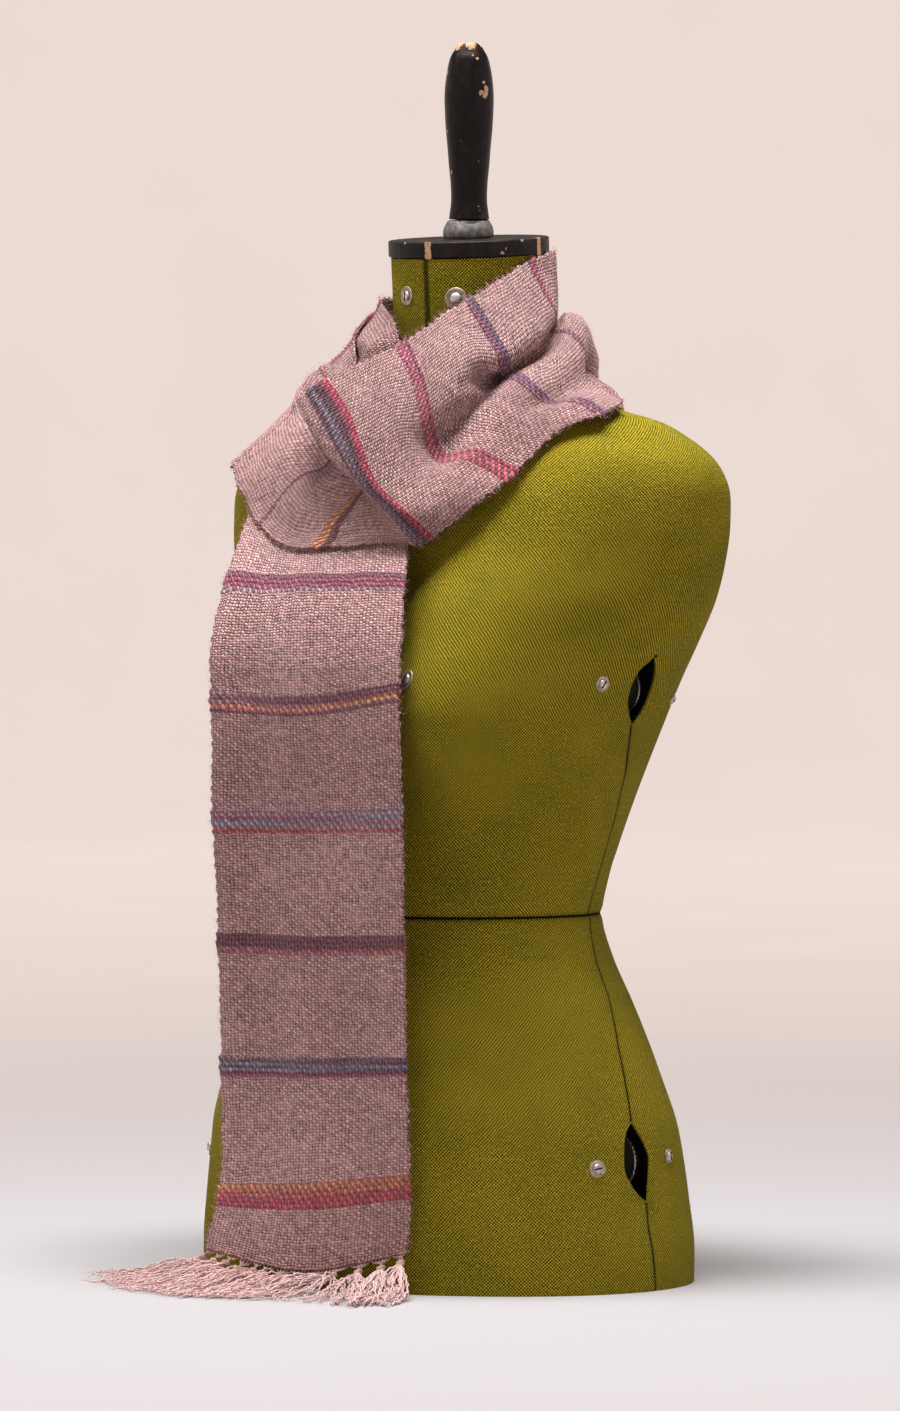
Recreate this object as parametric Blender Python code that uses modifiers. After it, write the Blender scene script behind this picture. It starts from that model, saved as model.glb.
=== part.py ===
"""A handwoven wool scarf, wound once round the neck of a limbless dress form.

Metres, +Z up. The form faces -Y and stands on the XY plane, with the origin at
the middle of its flat base. The scarf is one loom-woven rectangle, split into
one solid for each stretch of it; the form is a torso with its neck cap, the
cap's collar and its turned handle.
"""

import math

import bpy
import numpy as np
from mathutils import Vector
from mathutils.bvhtree import BVHTree

CM = 0.01

# ---------------------------------------------------------------- form sizes
# Horizontal sections of the torso, in cm: height, half width, half depth, and
# how far the middle of the section lies forward of the base's middle.
TORSO = [
    # height  half_width  half_depth  forward
    (0.0, 17.0, 12.5, 0.0),
    (2.6, 17.0, 12.5, 0.0),
    (5.1, 16.7, 12.4, 0.1),
    (7.7, 16.4, 12.1, 0.2),
    (10.2, 16.0, 11.8, 0.4),
    (12.8, 15.1, 11.4, 0.6),
    (15.3, 14.2, 10.9, 0.8),
    (17.9, 13.1, 10.4, 1.0),
    (20.4, 11.9, 9.8, 1.1),
    (23.2, 11.0, 9.3, 1.0),
    (25.5, 11.2, 9.4, 0.6),
    (28.1, 11.8, 9.7, 0.1),
    (30.6, 12.4, 10.1, -0.5),
    (33.2, 13.1, 10.5, -1.2),
    (35.7, 13.8, 10.9, -1.9),
    (38.3, 14.6, 11.2, -2.6),
    (40.8, 15.6, 11.4, -3.2),
    (43.4, 16.8, 11.5, -3.4),
    (45.9, 17.4, 11.4, -3.7),
    (48.5, 17.75, 11.1, -3.85),
    (51.0, 17.65, 10.2, -3.85),
    (52.4, 16.85, 9.4, -3.8),
    (53.7, 15.1, 8.5, -3.9),
    (54.9, 12.75, 7.6, -3.75),
    (55.7, 9.8, 6.9, -3.6),
    (56.6, 7.4, 6.3, -3.5),
    (57.8, 6.0, 5.75, -3.4),
    (59.6, 5.3, 5.35, -3.2),
    (62.0, 5.05, 5.2, -2.95),
    (65.7, 5.0, 5.15, -2.65),
]
BUST = {"apart": 7.7, "height": 36.3, "reach": 6.3, "wide": 5.3, "up": 8.6, "down": 4.5}
NECK_AXIS_Y = 2.65 * CM  # the top of the neck stands this far behind the base's middle

# The neck cap has settled: how far it drops for each cm towards the form's
# right front and towards its right, seen from that three-quarter side.
SETTLED = {"turn": 33.0, "forward": 0.099, "sideways": 0.031, "from": 58.0}

TORSO_SIDES = 40
TORSO_RINGS = 36


def smooth_table(rows, at, key=0):
    """Each column of the table at the given keys, by a Catmull-Rom spline that allows for uneven rows."""
    rows = np.asarray(rows, float)
    keys, values = rows[:, key], np.delete(rows, key, axis=1)
    slopes = np.gradient(values, keys, axis=0)
    at = np.clip(np.atleast_1d(np.asarray(at, float)), keys[0], keys[-1])
    i = np.clip(np.searchsorted(keys, at, side="right") - 1, 0, len(keys) - 2)
    span = (keys[i + 1] - keys[i])[:, None]
    t = ((at - keys[i])[:, None]) / span
    t2, t3 = t * t, t * t * t
    return (
        (2 * t3 - 3 * t2 + 1) * values[i]
        + (t3 - 2 * t2 + t) * span * slopes[i]
        + (3 * t2 - 2 * t3) * values[i + 1]
        + (t3 - t2) * span * slopes[i + 1]
    )


def settle_drop(x, y):
    """How far the tilted plane of the cap lies below its middle, at a place given from that middle."""
    turn = math.radians(SETTLED["turn"])
    forward = x * math.sin(turn) - y * math.cos(turn)
    sideways = -x * math.cos(turn) - y * math.sin(turn)
    return SETTLED["forward"] * forward + SETTLED["sideways"] * sideways


def torso_ring(height, sides):
    """One horizontal section of the torso, in cm, anticlockwise from above, starting at the form's left."""
    half_width, half_depth, forward = smooth_table(TORSO, height)[0]
    turn = np.arange(sides) * 2 * math.pi / sides
    x = half_width * np.cos(turn)
    y = half_depth * np.sin(turn) - forward
    rise = np.where(
        height > BUST["height"],
        (height - BUST["height"]) / BUST["up"],
        (height - BUST["height"]) / BUST["down"],
    )
    swell = BUST["reach"] * np.exp(-(rise**2)) * sum(
        np.exp(-(((x - side * BUST["apart"]) / BUST["wide"]) ** 2)) for side in (-1, 1)
    )
    front = np.clip(-np.sin(turn), 0, 1) ** 0.6
    y = y - swell * front
    ease = np.clip((height - SETTLED["from"]) / (TORSO[-1][0] - SETTLED["from"]), 0, 1)
    z = height - ease * ease * (3 - 2 * ease) * settle_drop(x, y - NECK_AXIS_Y / CM)
    return np.stack([x, y, z], axis=1)


def torso_heights(count):
    """Heights of the rings, closest together where the shoulders are nearly level."""
    fine = np.linspace(0, TORSO[-1][0], 400)
    wide = smooth_table(TORSO, fine)[:, 0]
    along = np.concatenate([[0], np.cumsum(np.hypot(np.diff(fine), 0.8 * np.diff(wide)))])
    return np.interp(np.linspace(0, along[-1], count), along, fine)


def torso_rings(sides, count):
    return np.stack([torso_ring(z, sides) for z in torso_heights(count)]) * CM


# --------------------------------------------------------------- cloth sizes
# One rectangle off the loom. "station" is the distance along the warp from the
# front hem; every row is one weft line of the cloth, in cm, given by the points
# that its columns name, from one selvedge to the other.
CLOTH = {"width": 14.8, "length": 172.0, "thick": 0.20, "seam": 0.06}

FRONT_TAIL = [
    # station  outer                middle               inner
    (0.0, (-9.7, -13.3, 2.2), (-2.2, -13.2, 1.2), (5.3, -12.5, 2.7)),
    (4.2, (-9.3, -12.3, 5.5), (-1.9, -12.8, 5.9), (5.6, -12.8, 6.9)),
    (11.7, (-9.5, -11.7, 13.8), (-2.0, -12.4, 14.0), (5.5, -13.1, 14.4)),
    (19.1, (-9.5, -12.0, 21.6), (-2.0, -12.5, 21.6), (5.5, -13.4, 21.9)),
    (26.5, (-9.3, -12.8, 29.3), (-1.8, -13.1, 29.4), (5.8, -14.0, 29.7)),
    (34.0, (-9.0, -13.4, 37.0), (-1.6, -13.9, 36.8), (5.9, -14.4, 37.7)),
    (38.0, (-9.3, -13.0, 40.8), (-1.9, -13.6, 40.9), (5.6, -13.7, 41.3)),
    (41.4, (-9.5, -11.2, 44.4), (-2.4, -12.1, 44.4), (4.7, -12.0, 44.4)),
    (45.0, (-10.8, -7.0, 48.3), (-3.5, -9.1, 47.2), (2.7, -8.5, 47.8)),
    (50.0, (-10.9, -5.1, 51.0), (-3.8, -7.4, 50.9), (0.8, -6.1, 52.6)),
    (54.0, (-10.6, -3.6, 53.4), (-4.4, -5.7, 54.6), (-1.1, -3.5, 56.6)),
]

# Round the back of the neck the weft lines are turned from the form's front,
# positive towards its left; reach is the distance from the neck's axis.
NECK_BACK = [
    # station  low_turn high_turn reach  low   high  roll
    (58.0, -80, -19, 12.0, 55.6, 60.6, 0.25),
    (61.5, -100, -35, 11.2, 55.6, 62.0, 0.6),
    (65.0, -121, -63, 10.6, 55.4, 62.9, 0.9),
    (68.5, -142, -97, 10.2, 55.0, 63.1, 1.0),
    (72.0, -163, -131, 9.9, 54.9, 63.3, 1.0),
    (75.5, -186, -165, 9.8, 54.8, 63.7, 1.0),
    (79.0, -209, -199, 9.7, 55.0, 64.8, 1.0),
]
NECK_HUG = 5.9  # reach of the upper selvedge, round the neck
NECK_ROLL = [
    # across  outward  upward  straight_outward  straight_upward
    (0.0, 1.00, 0.00, 1.00, 0.00),
    (0.125, 0.93, 0.23, 0.91, 0.14),
    (0.25, 0.80, 0.48, 0.80, 0.26),
    (0.375, 0.53, 0.60, 0.66, 0.34),
    (0.5, 0.30, 0.46, 0.50, 0.41),
    (0.625, 0.17, 0.38, 0.34, 0.48),
    (0.75, 0.08, 0.52, 0.20, 0.60),
    (0.875, 0.02, 0.76, 0.08, 0.78),
    (1.0, 0.00, 1.00, 0.00, 1.00),
]

# Across the front: the valley is the deep fold that starts by the neck, the lip
# the roll of cloth below it, and the hollow the dip above the lower selvedge.
FRONT_BAND = [
    # station  low  hollow  lobe  lip  valley  rim  high
    (82.0, (7.6, 9.2, 55.5), (6.1, 8.3, 59.6), (5.5, 7.9, 61.5), (4.6, 7.1, 62.0), (4.0, 6.9, 61.1), (4.2, 6.5, 62.3), (4.1, 6.4, 66.0)),
    (86.0, (10.1, 4.4, 56.1), (8.2, 4.1, 58.4), (7.9, 3.6, 59.7), (6.9, 3.6, 60.5), (5.9, 4.1, 60.7), (6.3, 2.6, 61.6), (5.1, 1.7, 65.1)),
    (89.7, (11.8, 2.2, 55.9), (9.1, 1.2, 57.0), (8.7, 0.5, 58.0), (7.7, 0.9, 59.1), (6.8, 1.6, 59.5), (7.2, -0.1, 60.1), (4.6, -1.1, 63.7)),
    (93.4, (12.2, -0.7, 55.1), (9.2, -1.9, 55.9), (8.5, -3.0, 56.8), (7.0, -2.9, 57.6), (5.5, -2.2, 57.1), (6.5, -3.4, 58.3), (3.7, -3.1, 62.5)),
    (97.1, (10.4, -3.0, 54.0), (8.6, -4.4, 54.6), (7.6, -5.0, 55.3), (6.4, -4.9, 55.8), (5.5, -4.6, 55.8), (5.6, -5.7, 56.6), (2.5, -5.0, 61.2)),
    (100.8, (8.8, -6.0, 51.2), (6.5, -7.0, 52.5), (5.3, -7.1, 52.2), (4.4, -7.2, 52.1), (3.7, -7.3, 52.9), (3.6, -7.8, 54.5), (1.0, -6.7, 59.7)),
    (104.5, (7.0, -8.1, 49.1), (5.6, -8.9, 50.1), (4.8, -9.1, 50.5), (4.0, -9.2, 51.1), (3.2, -9.3, 52.1), (2.4, -9.4, 53.6), (-1.0, -8.4, 58.4)),
    (108.3, (4.5, -9.4, 47.0), (3.3, -10.8, 48.8), (2.5, -10.9, 49.5), (1.6, -11.0, 50.3), (0.7, -10.9, 51.4), (-0.3, -10.7, 53.1), (-3.6, -9.5, 57.0)),
    (110.0, (3.4, -9.6, 46.7), (2.2, -10.5, 48.7), (1.3, -10.6, 49.7), (0.3, -10.6, 50.6), (-1.1, -10.4, 51.6), (-2.6, -10.1, 52.9), (-5.5, -9.0, 56.2)),
]

# Past the pleat the cloth turns back over the right shoulder: the crest is the
# folded edge that stands out, and the neckline side stands up like a collar.
SHOULDER_TURN = [
    # station  low  sweep  swell  crest  rise  stand  high
    (111.6, (2.2, -9.7, 46.6), (1.5, -10.0, 48.7), (0.9, -9.8, 49.7), (-0.1, -9.4, 50.9), (-1.4, -8.9, 52.2), (-2.8, -8.6, 53.6), (-5.7, -8.0, 57.0)),
    (113.5, (-0.1, -9.9, 46.4), (0.5, -9.5, 48.8), (0.3, -9.1, 50.0), (-0.5, -8.6, 51.5), (-1.6, -8.2, 53.0), (-2.9, -7.7, 54.6), (-5.9, -6.9, 57.8)),
    (115.7, (-2.9, -9.8, 46.1), (-1.3, -9.0, 49.5), (-0.6, -8.6, 50.5), (-1.0, -8.1, 52.1), (-2.0, -7.5, 53.7), (-3.2, -7.0, 55.2), (-5.9, -5.7, 58.3)),
    (119.4, (-6.2, -9.1, 46.4), (-4.3, -8.4, 50.5), (-3.2, -8.0, 51.7), (-2.8, -7.3, 53.2), (-3.2, -6.6, 54.9), (-3.8, -5.8, 56.4), (-5.8, -4.0, 59.1)),
    (123.1, (-9.3, -7.7, 48.0), (-6.1, -7.6, 51.3), (-4.4, -7.4, 51.8), (-3.7, -6.7, 53.0), (-3.8, -5.6, 54.9), (-4.3, -4.5, 56.7), (-5.8, -2.1, 60.4)),
    (126.9, (-11.6, -6.1, 50.1), (-8.3, -6.1, 53.6), (-6.8, -5.5, 54.9), (-6.2, -4.5, 56.3), (-5.9, -3.5, 57.6), (-5.8, -2.3, 59.1), (-6.0, 0.2, 61.9)),
    (130.6, (-14.4, -3.4, 52.1), (-10.3, -3.1, 55.1), (-8.9, -2.4, 56.4), (-7.9, -1.7, 57.9), (-7.3, -0.8, 59.2), (-6.8, 0.2, 60.5), (-6.3, 2.8, 63.1)),
]

BACK_TAIL = [
    # station  outer                middle               inner
    (134.3, (-15.9, 0.2, 52.6), (-10.7, 2.7, 58.4), (-5.8, 6.6, 62.0)),
    (138.0, (-16.8, 3.6, 51.9), (-10.8, 6.8, 57.0), (-4.9, 10.2, 59.9)),
    (141.7, (-17.2, 7.2, 50.4), (-11.1, 10.7, 55.1), (-4.4, 13.0, 56.8)),
    (145.4, (-17.0, 10.0, 48.0), (-10.5, 13.9, 52.0), (-3.3, 15.1, 53.0)),
    (149.1, (-16.7, 11.8, 44.8), (-10.0, 15.2, 48.0), (-2.6, 15.8, 48.9)),
    (155.0, (-16.3, 13.2, 39.2), (-9.5, 15.7, 41.8), (-2.0, 16.1, 43.0)),
    (163.0, (-16.0, 14.2, 31.4), (-8.9, 15.9, 33.6), (-1.6, 16.3, 35.0)),
    (172.0, (-15.9, 14.8, 22.6), (-8.7, 15.8, 24.5), (-1.4, 16.4, 26.0)),
]

# The stretches that show, each a solid of its own: first and last station, and
# how many weft lines are lofted.
STRETCHES = [
    # node                 first   last   lines
    ("scarf_front_tail", 0.0, 58.0, 31),
    ("scarf_neck_back", 58.0, 82.0, 17),
    ("scarf_front_band", 82.0, 111.0, 25),
    ("scarf_shoulder_turn", 111.0, 132.0, 20),
    ("scarf_back_tail", 132.0, 172.0, 21),
]
ACROSS = 15  # points along each weft line

# Which stretch lies over which, and the space kept between their middles.
LAYERS = [
    ("scarf_front_band", "scarf_front_tail"),
    ("scarf_shoulder_turn", "scarf_front_tail"),
    ("scarf_shoulder_turn", "scarf_neck_back"),
    ("scarf_back_tail", "scarf_neck_back"),
]
CLEAR = {"form": 0.36, "cloth": 0.42}

# The fringe's reach: where its strands leave the hem, bend and end, across it.
FRINGE = {"thick": 0.6, "lines": 5, "gap": 0.35}
FRINGE_FRONT = [
    # across  bend                  end
    (0.0, (-11.6, -13.9, 0.9), (-17.6, -14.6, 0.36)),
    (0.25, (-7.8, -15.2, 0.8), (-12.6, -19.6, 0.36)),
    (0.5, (-3.4, -15.4, 0.7), (-6.2, -21.2, 0.36)),
    (0.75, (1.0, -15.2, 0.8), (0.2, -19.8, 0.36)),
    (1.0, (5.4, -14.6, 1.0), (5.0, -18.8, 0.36)),
]
FRINGE_BACK_DROP = 9.0

# ------------------------------------------------------------ hard part sizes
CAP = {"radius": 5.2, "thick": 1.05, "above_neck": 0.05, "bevel": 0.05, "sides": 48}
# Turned profiles, in cm above the cap's underside: height, radius.
COLLAR_PROFILE = [(2.30, 0.0), (2.30, 1.22), (2.24, 1.34), (2.05, 1.46), (1.75, 1.60), (1.45, 1.64), (1.18, 1.60), (1.10, 1.50), (1.10, 0.0)]
HANDLE_PROFILE = [
    (13.65, 0.0), (13.65, 0.60), (13.52, 0.78), (13.15, 0.99), (12.75, 1.21), (12.2, 1.36), (11.55, 1.48),
    (10.3, 1.59), (9.25, 1.57), (8.15, 1.51), (6.95, 1.40), (5.8, 1.31), (4.65, 1.20), (3.5, 1.17),
    (2.85, 1.24), (2.35, 1.31), (2.34, 0.0),
]
TURNED_STEPS = 28


# ---------------------------------------------------------------- loft tools
def through(points, count):
    """A smooth line through a few points, its bends kept by spacing the points unevenly."""
    points = np.asarray(points, float)
    steps = np.linalg.norm(np.diff(points, axis=0), axis=1) ** 0.75
    keys = np.concatenate([[0], np.cumsum(steps)])
    rows = np.concatenate([keys[:, None], points], axis=1)
    return smooth_table(rows, np.interp(np.linspace(0, len(points) - 1, count), np.arange(len(points)), keys))


def even(line, count):
    """The same line, divided evenly along its length."""
    along = np.concatenate([[0], np.cumsum(np.linalg.norm(np.diff(line, axis=0), axis=1))])
    at = np.linspace(0, along[-1], count)
    return np.stack([np.interp(at, along, line[:, axis]) for axis in range(3)], axis=1)


def neck_section(row):
    """One weft line behind the neck: the rolled profile, wrapped at its turn and reach."""
    _, low_turn, high_turn, reach, low, high, roll = row
    points = []
    for across, outward, upward, straight_outward, straight_upward in NECK_ROLL:
        out = roll * outward + (1 - roll) * straight_outward
        up = roll * upward + (1 - roll) * straight_upward
        turn = math.radians(low_turn + (high_turn - low_turn) * across)
        radius = NECK_HUG + (reach - NECK_HUG) * out
        points.append((radius * math.sin(turn), 3.0 - radius * math.cos(turn), low + (high - low) * up))
    return points


def weft_lines(count=49):
    """Every tabled weft line, by station, as an evenly divided smooth line."""
    lines = {}
    for table in (FRONT_TAIL, FRONT_BAND, SHOULDER_TURN, BACK_TAIL):
        for station, *points in table:
            lines[station] = points
    for row in NECK_BACK:
        lines[row[0]] = neck_section(row)
    stations = sorted(lines)
    return np.array(stations), np.array([even(through(lines[s], 161), count) for s in stations])


def cloth_lines(stations, across):
    """Weft lines of the cloth at any stations, in cm."""
    keys, lines = weft_lines()
    flat = np.concatenate([keys[:, None], lines.reshape(len(keys), -1)], axis=1)
    rows = smooth_table(flat, stations).reshape(len(stations), lines.shape[1], 3)
    return np.array([even(row, across) for row in rows])


# ---- build
MATERIALS = {
    # name         colour                 roughness  metallic
    "wool": ((0.52, 0.30, 0.31, 1.0), 0.95, 0.0),
    "fringe_wool": ((0.66, 0.40, 0.38, 1.0), 0.95, 0.0),
    "form_cloth": ((0.22, 0.19, 0.03, 1.0), 0.85, 0.0),
    "cap_paint": ((0.03, 0.03, 0.03, 1.0), 0.5, 0.0),
    "collar_metal": ((0.42, 0.41, 0.40, 1.0), 0.35, 1.0),
    "handle_paint": ((0.02, 0.02, 0.02, 1.0), 0.35, 0.0),
}


def material(name):
    colour, roughness, metallic = MATERIALS[name]
    made = bpy.data.materials.new(name)
    made.use_nodes = True
    shader = made.node_tree.nodes["Principled BSDF"]
    shader.inputs["Base Color"].default_value = colour
    shader.inputs["Roughness"].default_value = roughness
    shader.inputs["Metallic"].default_value = metallic
    return made


def new_object(name, points, faces, look, collection):
    mesh = bpy.data.meshes.new(name)
    mesh.from_pydata([tuple(p) for p in points], [], faces)
    mesh.update()
    thing = bpy.data.objects.new(name, mesh)
    mesh.materials.append(material(look))
    mesh.shade_smooth()
    collection.objects.link(thing)
    return thing


def grid_faces(rows, columns):
    return [
        (i * columns + j, i * columns + j + 1, (i + 1) * columns + j + 1, (i + 1) * columns + j)
        for i in range(rows - 1)
        for j in range(columns - 1)
    ]


def grid_normals(grid):
    """Outward normals of a grid of weft lines (across is taken from the outer selvedge)."""
    along = np.gradient(grid, axis=0)
    across = np.gradient(grid, axis=1)
    normals = np.cross(across, along)
    return normals / np.maximum(np.linalg.norm(normals, axis=2, keepdims=True), 1e-9)


def surface_tree(points, faces):
    return BVHTree.FromPolygons([Vector(p) for p in points], faces)


def push_clear(grid, tree, gap, reach, facing=0.6):
    """Lift the points that lie under or too near a surface, along the surface's own normal."""
    moved = grid.copy()
    for index in np.ndindex(grid.shape[:2]):
        point = Vector(grid[index])
        spot, normal, _, _ = tree.find_nearest(point, reach)
        if spot is None:
            continue
        height = (point - spot).dot(normal)
        if abs(height) < facing * (point - spot).length:
            continue
        if height < gap:
            moved[index] = np.array(point + normal * (gap - height))
    return moved


def soften(lift, passes):
    """Spread a field of small moves over its neighbours, so that they leave no dents."""
    for _ in range(passes):
        padded = np.pad(lift, ((1, 1), (1, 1), (0, 0)), mode="edge")
        lift = (padded[:-2, 1:-1] + padded[2:, 1:-1] + padded[1:-1, :-2] + padded[1:-1, 2:] + 4 * lift) / 8
    return lift


def stretch_stations(first, last, lines):
    """Stations of a stretch's weft lines, with one close to each seam so that both sides of it agree."""
    seam = CLOTH["seam"] / 2
    start = first + (seam if first > 0 else 0)
    end = last - (seam if last < CLOTH["length"] else 0)
    inner = np.linspace(start, end, lines - 2)[1:-1]
    return np.concatenate([[start, start + 0.3], inner, [end - 0.3, end]])


def settled_cloth(skin):
    """The whole band, lying clear of the form and of the stretches under it; and each stretch's rows."""
    spans, stations = {}, []
    for name, first, last, lines in STRETCHES:
        spans[name] = slice(len(stations), len(stations) + lines)
        stations.extend(stretch_stations(first, last, lines))
    grid = cloth_lines(np.array(stations), ACROSS) * CM
    for turn in range(9):
        pushed = push_clear(grid, skin, CLEAR["form"] * CM, 6 * CM, 0.0)
        for upper, lower in LAYERS:
            rows = grid[spans[lower]]
            tree = surface_tree(rows.reshape(-1, 3), grid_faces(*rows.shape[:2]))
            pushed[spans[upper]] = push_clear(pushed[spans[upper]], tree, CLEAR["cloth"] * CM, 2.5 * CM)
        lift = pushed - grid
        grid = grid + (soften(lift, 2) if turn < 7 else lift)
    return grid, spans


def build():
    for thing in list(bpy.data.objects):
        bpy.data.objects.remove(thing, do_unlink=True)
    scene = bpy.context.scene
    scene.unit_settings.system = "METRIC"
    parts = bpy.data.collections.new("scarf_on_dress_form")
    scene.collection.children.link(parts)

    # The form's torso: rings joined, a flat base and a flat, slightly tilted top.
    rings = torso_rings(TORSO_SIDES, TORSO_RINGS)
    count, sides = rings.shape[:2]
    faces = [
        (i * sides + j, i * sides + (j + 1) % sides, (i + 1) * sides + (j + 1) % sides, (i + 1) * sides + j)
        for i in range(count - 1)
        for j in range(sides)
    ]
    skin = surface_tree(rings.reshape(-1, 3), faces)
    torso_faces = faces + [tuple(reversed(range(sides))), tuple((count - 1) * sides + j for j in range(sides))]
    torso = new_object("form_torso", rings.reshape(-1, 3), torso_faces, "form_cloth", parts)
    torso.data.set_sharp_from_angle(angle=math.radians(60))

    # The cap, its collar and handle stand on the settled top of the neck.
    turn = math.radians(SETTLED["turn"])
    forward = Vector((math.sin(turn), -math.cos(turn), 0))
    sideways = Vector((-math.cos(turn), -math.sin(turn), 0))
    cap_up = (forward * SETTLED["forward"] + sideways * SETTLED["sideways"] + Vector((0, 0, 1))).normalized()
    stem_up = (forward * SETTLED["forward"] + Vector((0, 0, 1))).normalized()
    neck_top = Vector((0, NECK_AXIS_Y, TORSO[-1][0] * CM))
    upright = Vector((0, 0, 1))

    bpy.ops.mesh.primitive_cylinder_add(
        vertices=CAP["sides"],
        radius=CAP["radius"] * CM,
        depth=CAP["thick"] * CM,
        location=neck_top + cap_up * (CAP["above_neck"] + CAP["thick"] / 2) * CM,
        rotation=upright.rotation_difference(cap_up).to_euler(),
    )
    cap = bpy.context.object
    cap.name = cap.data.name = "form_neck_cap"
    cap.data.materials.append(material("cap_paint"))
    bevel = cap.modifiers.new("edge", "BEVEL")
    bevel.width = CAP["bevel"] * CM
    bevel.segments = 1
    bevel.limit_method = "ANGLE"
    for owner in list(cap.users_collection):
        owner.objects.unlink(cap)
    parts.objects.link(cap)

    for name, profile, up, look in (
        ("form_collar", COLLAR_PROFILE, cap_up, "collar_metal"),
        ("form_handle", HANDLE_PROFILE, stem_up, "handle_paint"),
    ):
        points = [(radius * CM, 0.0, height * CM) for height, radius in profile]
        mesh = bpy.data.meshes.new(name)
        mesh.from_pydata(points, [(i, i + 1) for i in range(len(points) - 1)], [])
        thing = bpy.data.objects.new(name, mesh)
        mesh.materials.append(material(look))
        parts.objects.link(thing)
        thing.location = neck_top
        thing.rotation_euler = upright.rotation_difference(up).to_euler()
        screw = thing.modifiers.new("turned", "SCREW")
        screw.steps = screw.render_steps = TURNED_STEPS
        screw.use_merge_vertices = True
        screw.merge_threshold = 0.00002
        screw.use_smooth_shade = True

    # The cloth, one solid for each stretch that shows.
    grid, spans = settled_cloth(skin)
    for name, rows in spans.items():
        stretch = grid[rows]
        cloth = new_object(name, stretch.reshape(-1, 3), grid_faces(*stretch.shape[:2]), "wool", parts)
        wall = cloth.modifiers.new("wall", "SOLIDIFY")
        wall.thickness = CLOTH["thick"] * CM
        wall.offset = 0.0
    front_hem, back_hem = grid[0], grid[-1]

    # The fringes, each a plain wall of the strands' reach.
    across = np.linspace(0, 1, ACROSS)
    bend = smooth_table([(row[0], *row[1]) for row in FRINGE_FRONT], across) * CM
    tips = smooth_table([(row[0], *row[2]) for row in FRINGE_FRONT], across) * CM
    leave = front_hem + np.array([0, 0, -1.0]) * (FRINGE["gap"] * CM)
    leave[:, 1] -= 0.25 * CM
    front = np.array([through([leave[j], bend[j], tips[j]], FRINGE["lines"]) for j in range(ACROSS)]).transpose(1, 0, 2)
    ease = np.linspace(0, 1, FRINGE["lines"])[:, None]
    drop = np.array([0.0, 0.0, -1.0]) * CM
    back = back_hem[None] + (FRINGE["gap"] + FRINGE_BACK_DROP * ease[:, :, None]) * drop
    for name, grid in (("fringe_front", front), ("fringe_back", back)):
        strands = new_object(name, grid.reshape(-1, 3), grid_faces(*grid.shape[:2]), "fringe_wool", parts)
        wall = strands.modifiers.new("wall", "SOLIDIFY")
        wall.thickness = FRINGE["thick"] * CM
        wall.offset = 0.0


build()
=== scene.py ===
"""Looks of a handwoven wool scarf, wound once round the neck of a limbless dress form.

Metres, +Z up, the form faces -Y. The cloth is one woven rectangle, drawn through
the same weft lines as its solids, with its stripes, knotted fringe and nap.
"""

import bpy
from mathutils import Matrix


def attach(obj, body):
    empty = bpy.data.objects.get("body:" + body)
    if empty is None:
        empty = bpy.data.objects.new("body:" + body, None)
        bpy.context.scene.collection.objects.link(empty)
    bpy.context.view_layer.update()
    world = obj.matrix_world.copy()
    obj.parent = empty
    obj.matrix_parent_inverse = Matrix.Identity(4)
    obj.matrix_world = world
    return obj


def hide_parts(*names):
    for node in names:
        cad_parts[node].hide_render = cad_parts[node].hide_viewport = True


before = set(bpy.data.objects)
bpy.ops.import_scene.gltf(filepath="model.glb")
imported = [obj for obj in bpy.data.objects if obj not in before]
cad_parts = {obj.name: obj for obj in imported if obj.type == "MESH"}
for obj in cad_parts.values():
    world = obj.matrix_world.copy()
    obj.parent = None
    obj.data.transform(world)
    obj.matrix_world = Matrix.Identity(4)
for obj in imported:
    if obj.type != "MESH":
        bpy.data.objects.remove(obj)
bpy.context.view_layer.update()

import math

import bpy
import numpy as np
from mathutils import Matrix, Vector
from mathutils.bvhtree import BVHTree

CM = 0.01
RNG = np.random.default_rng(41)

# ------------------------------------------------------------------ the form
TORSO = [
    # height  half_width  half_depth  forward
    (0.0, 17.0, 12.5, 0.0),
    (2.6, 17.0, 12.5, 0.0),
    (5.1, 16.7, 12.4, 0.1),
    (7.7, 16.4, 12.1, 0.2),
    (10.2, 16.0, 11.8, 0.4),
    (12.8, 15.1, 11.4, 0.6),
    (15.3, 14.2, 10.9, 0.8),
    (17.9, 13.1, 10.4, 1.0),
    (20.4, 11.9, 9.8, 1.1),
    (23.2, 11.0, 9.3, 1.0),
    (25.5, 11.2, 9.4, 0.6),
    (28.1, 11.8, 9.7, 0.1),
    (30.6, 12.4, 10.1, -0.5),
    (33.2, 13.1, 10.5, -1.2),
    (35.7, 13.8, 10.9, -1.9),
    (38.3, 14.6, 11.2, -2.6),
    (40.8, 15.6, 11.4, -3.2),
    (43.4, 16.8, 11.5, -3.4),
    (45.9, 17.4, 11.4, -3.7),
    (48.5, 17.75, 11.1, -3.85),
    (51.0, 17.65, 10.2, -3.85),
    (52.4, 16.85, 9.4, -3.8),
    (53.7, 15.1, 8.5, -3.9),
    (54.9, 12.75, 7.6, -3.75),
    (55.7, 9.8, 6.9, -3.6),
    (56.6, 7.4, 6.3, -3.5),
    (57.8, 6.0, 5.75, -3.4),
    (59.6, 5.3, 5.35, -3.2),
    (62.0, 5.05, 5.2, -2.95),
    (65.7, 5.0, 5.15, -2.65),
]
BUST = {"apart": 7.7, "height": 36.3, "reach": 6.3, "wide": 5.3, "up": 8.6, "down": 4.5}
NECK_AXIS_Y = 2.65 * CM
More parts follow.
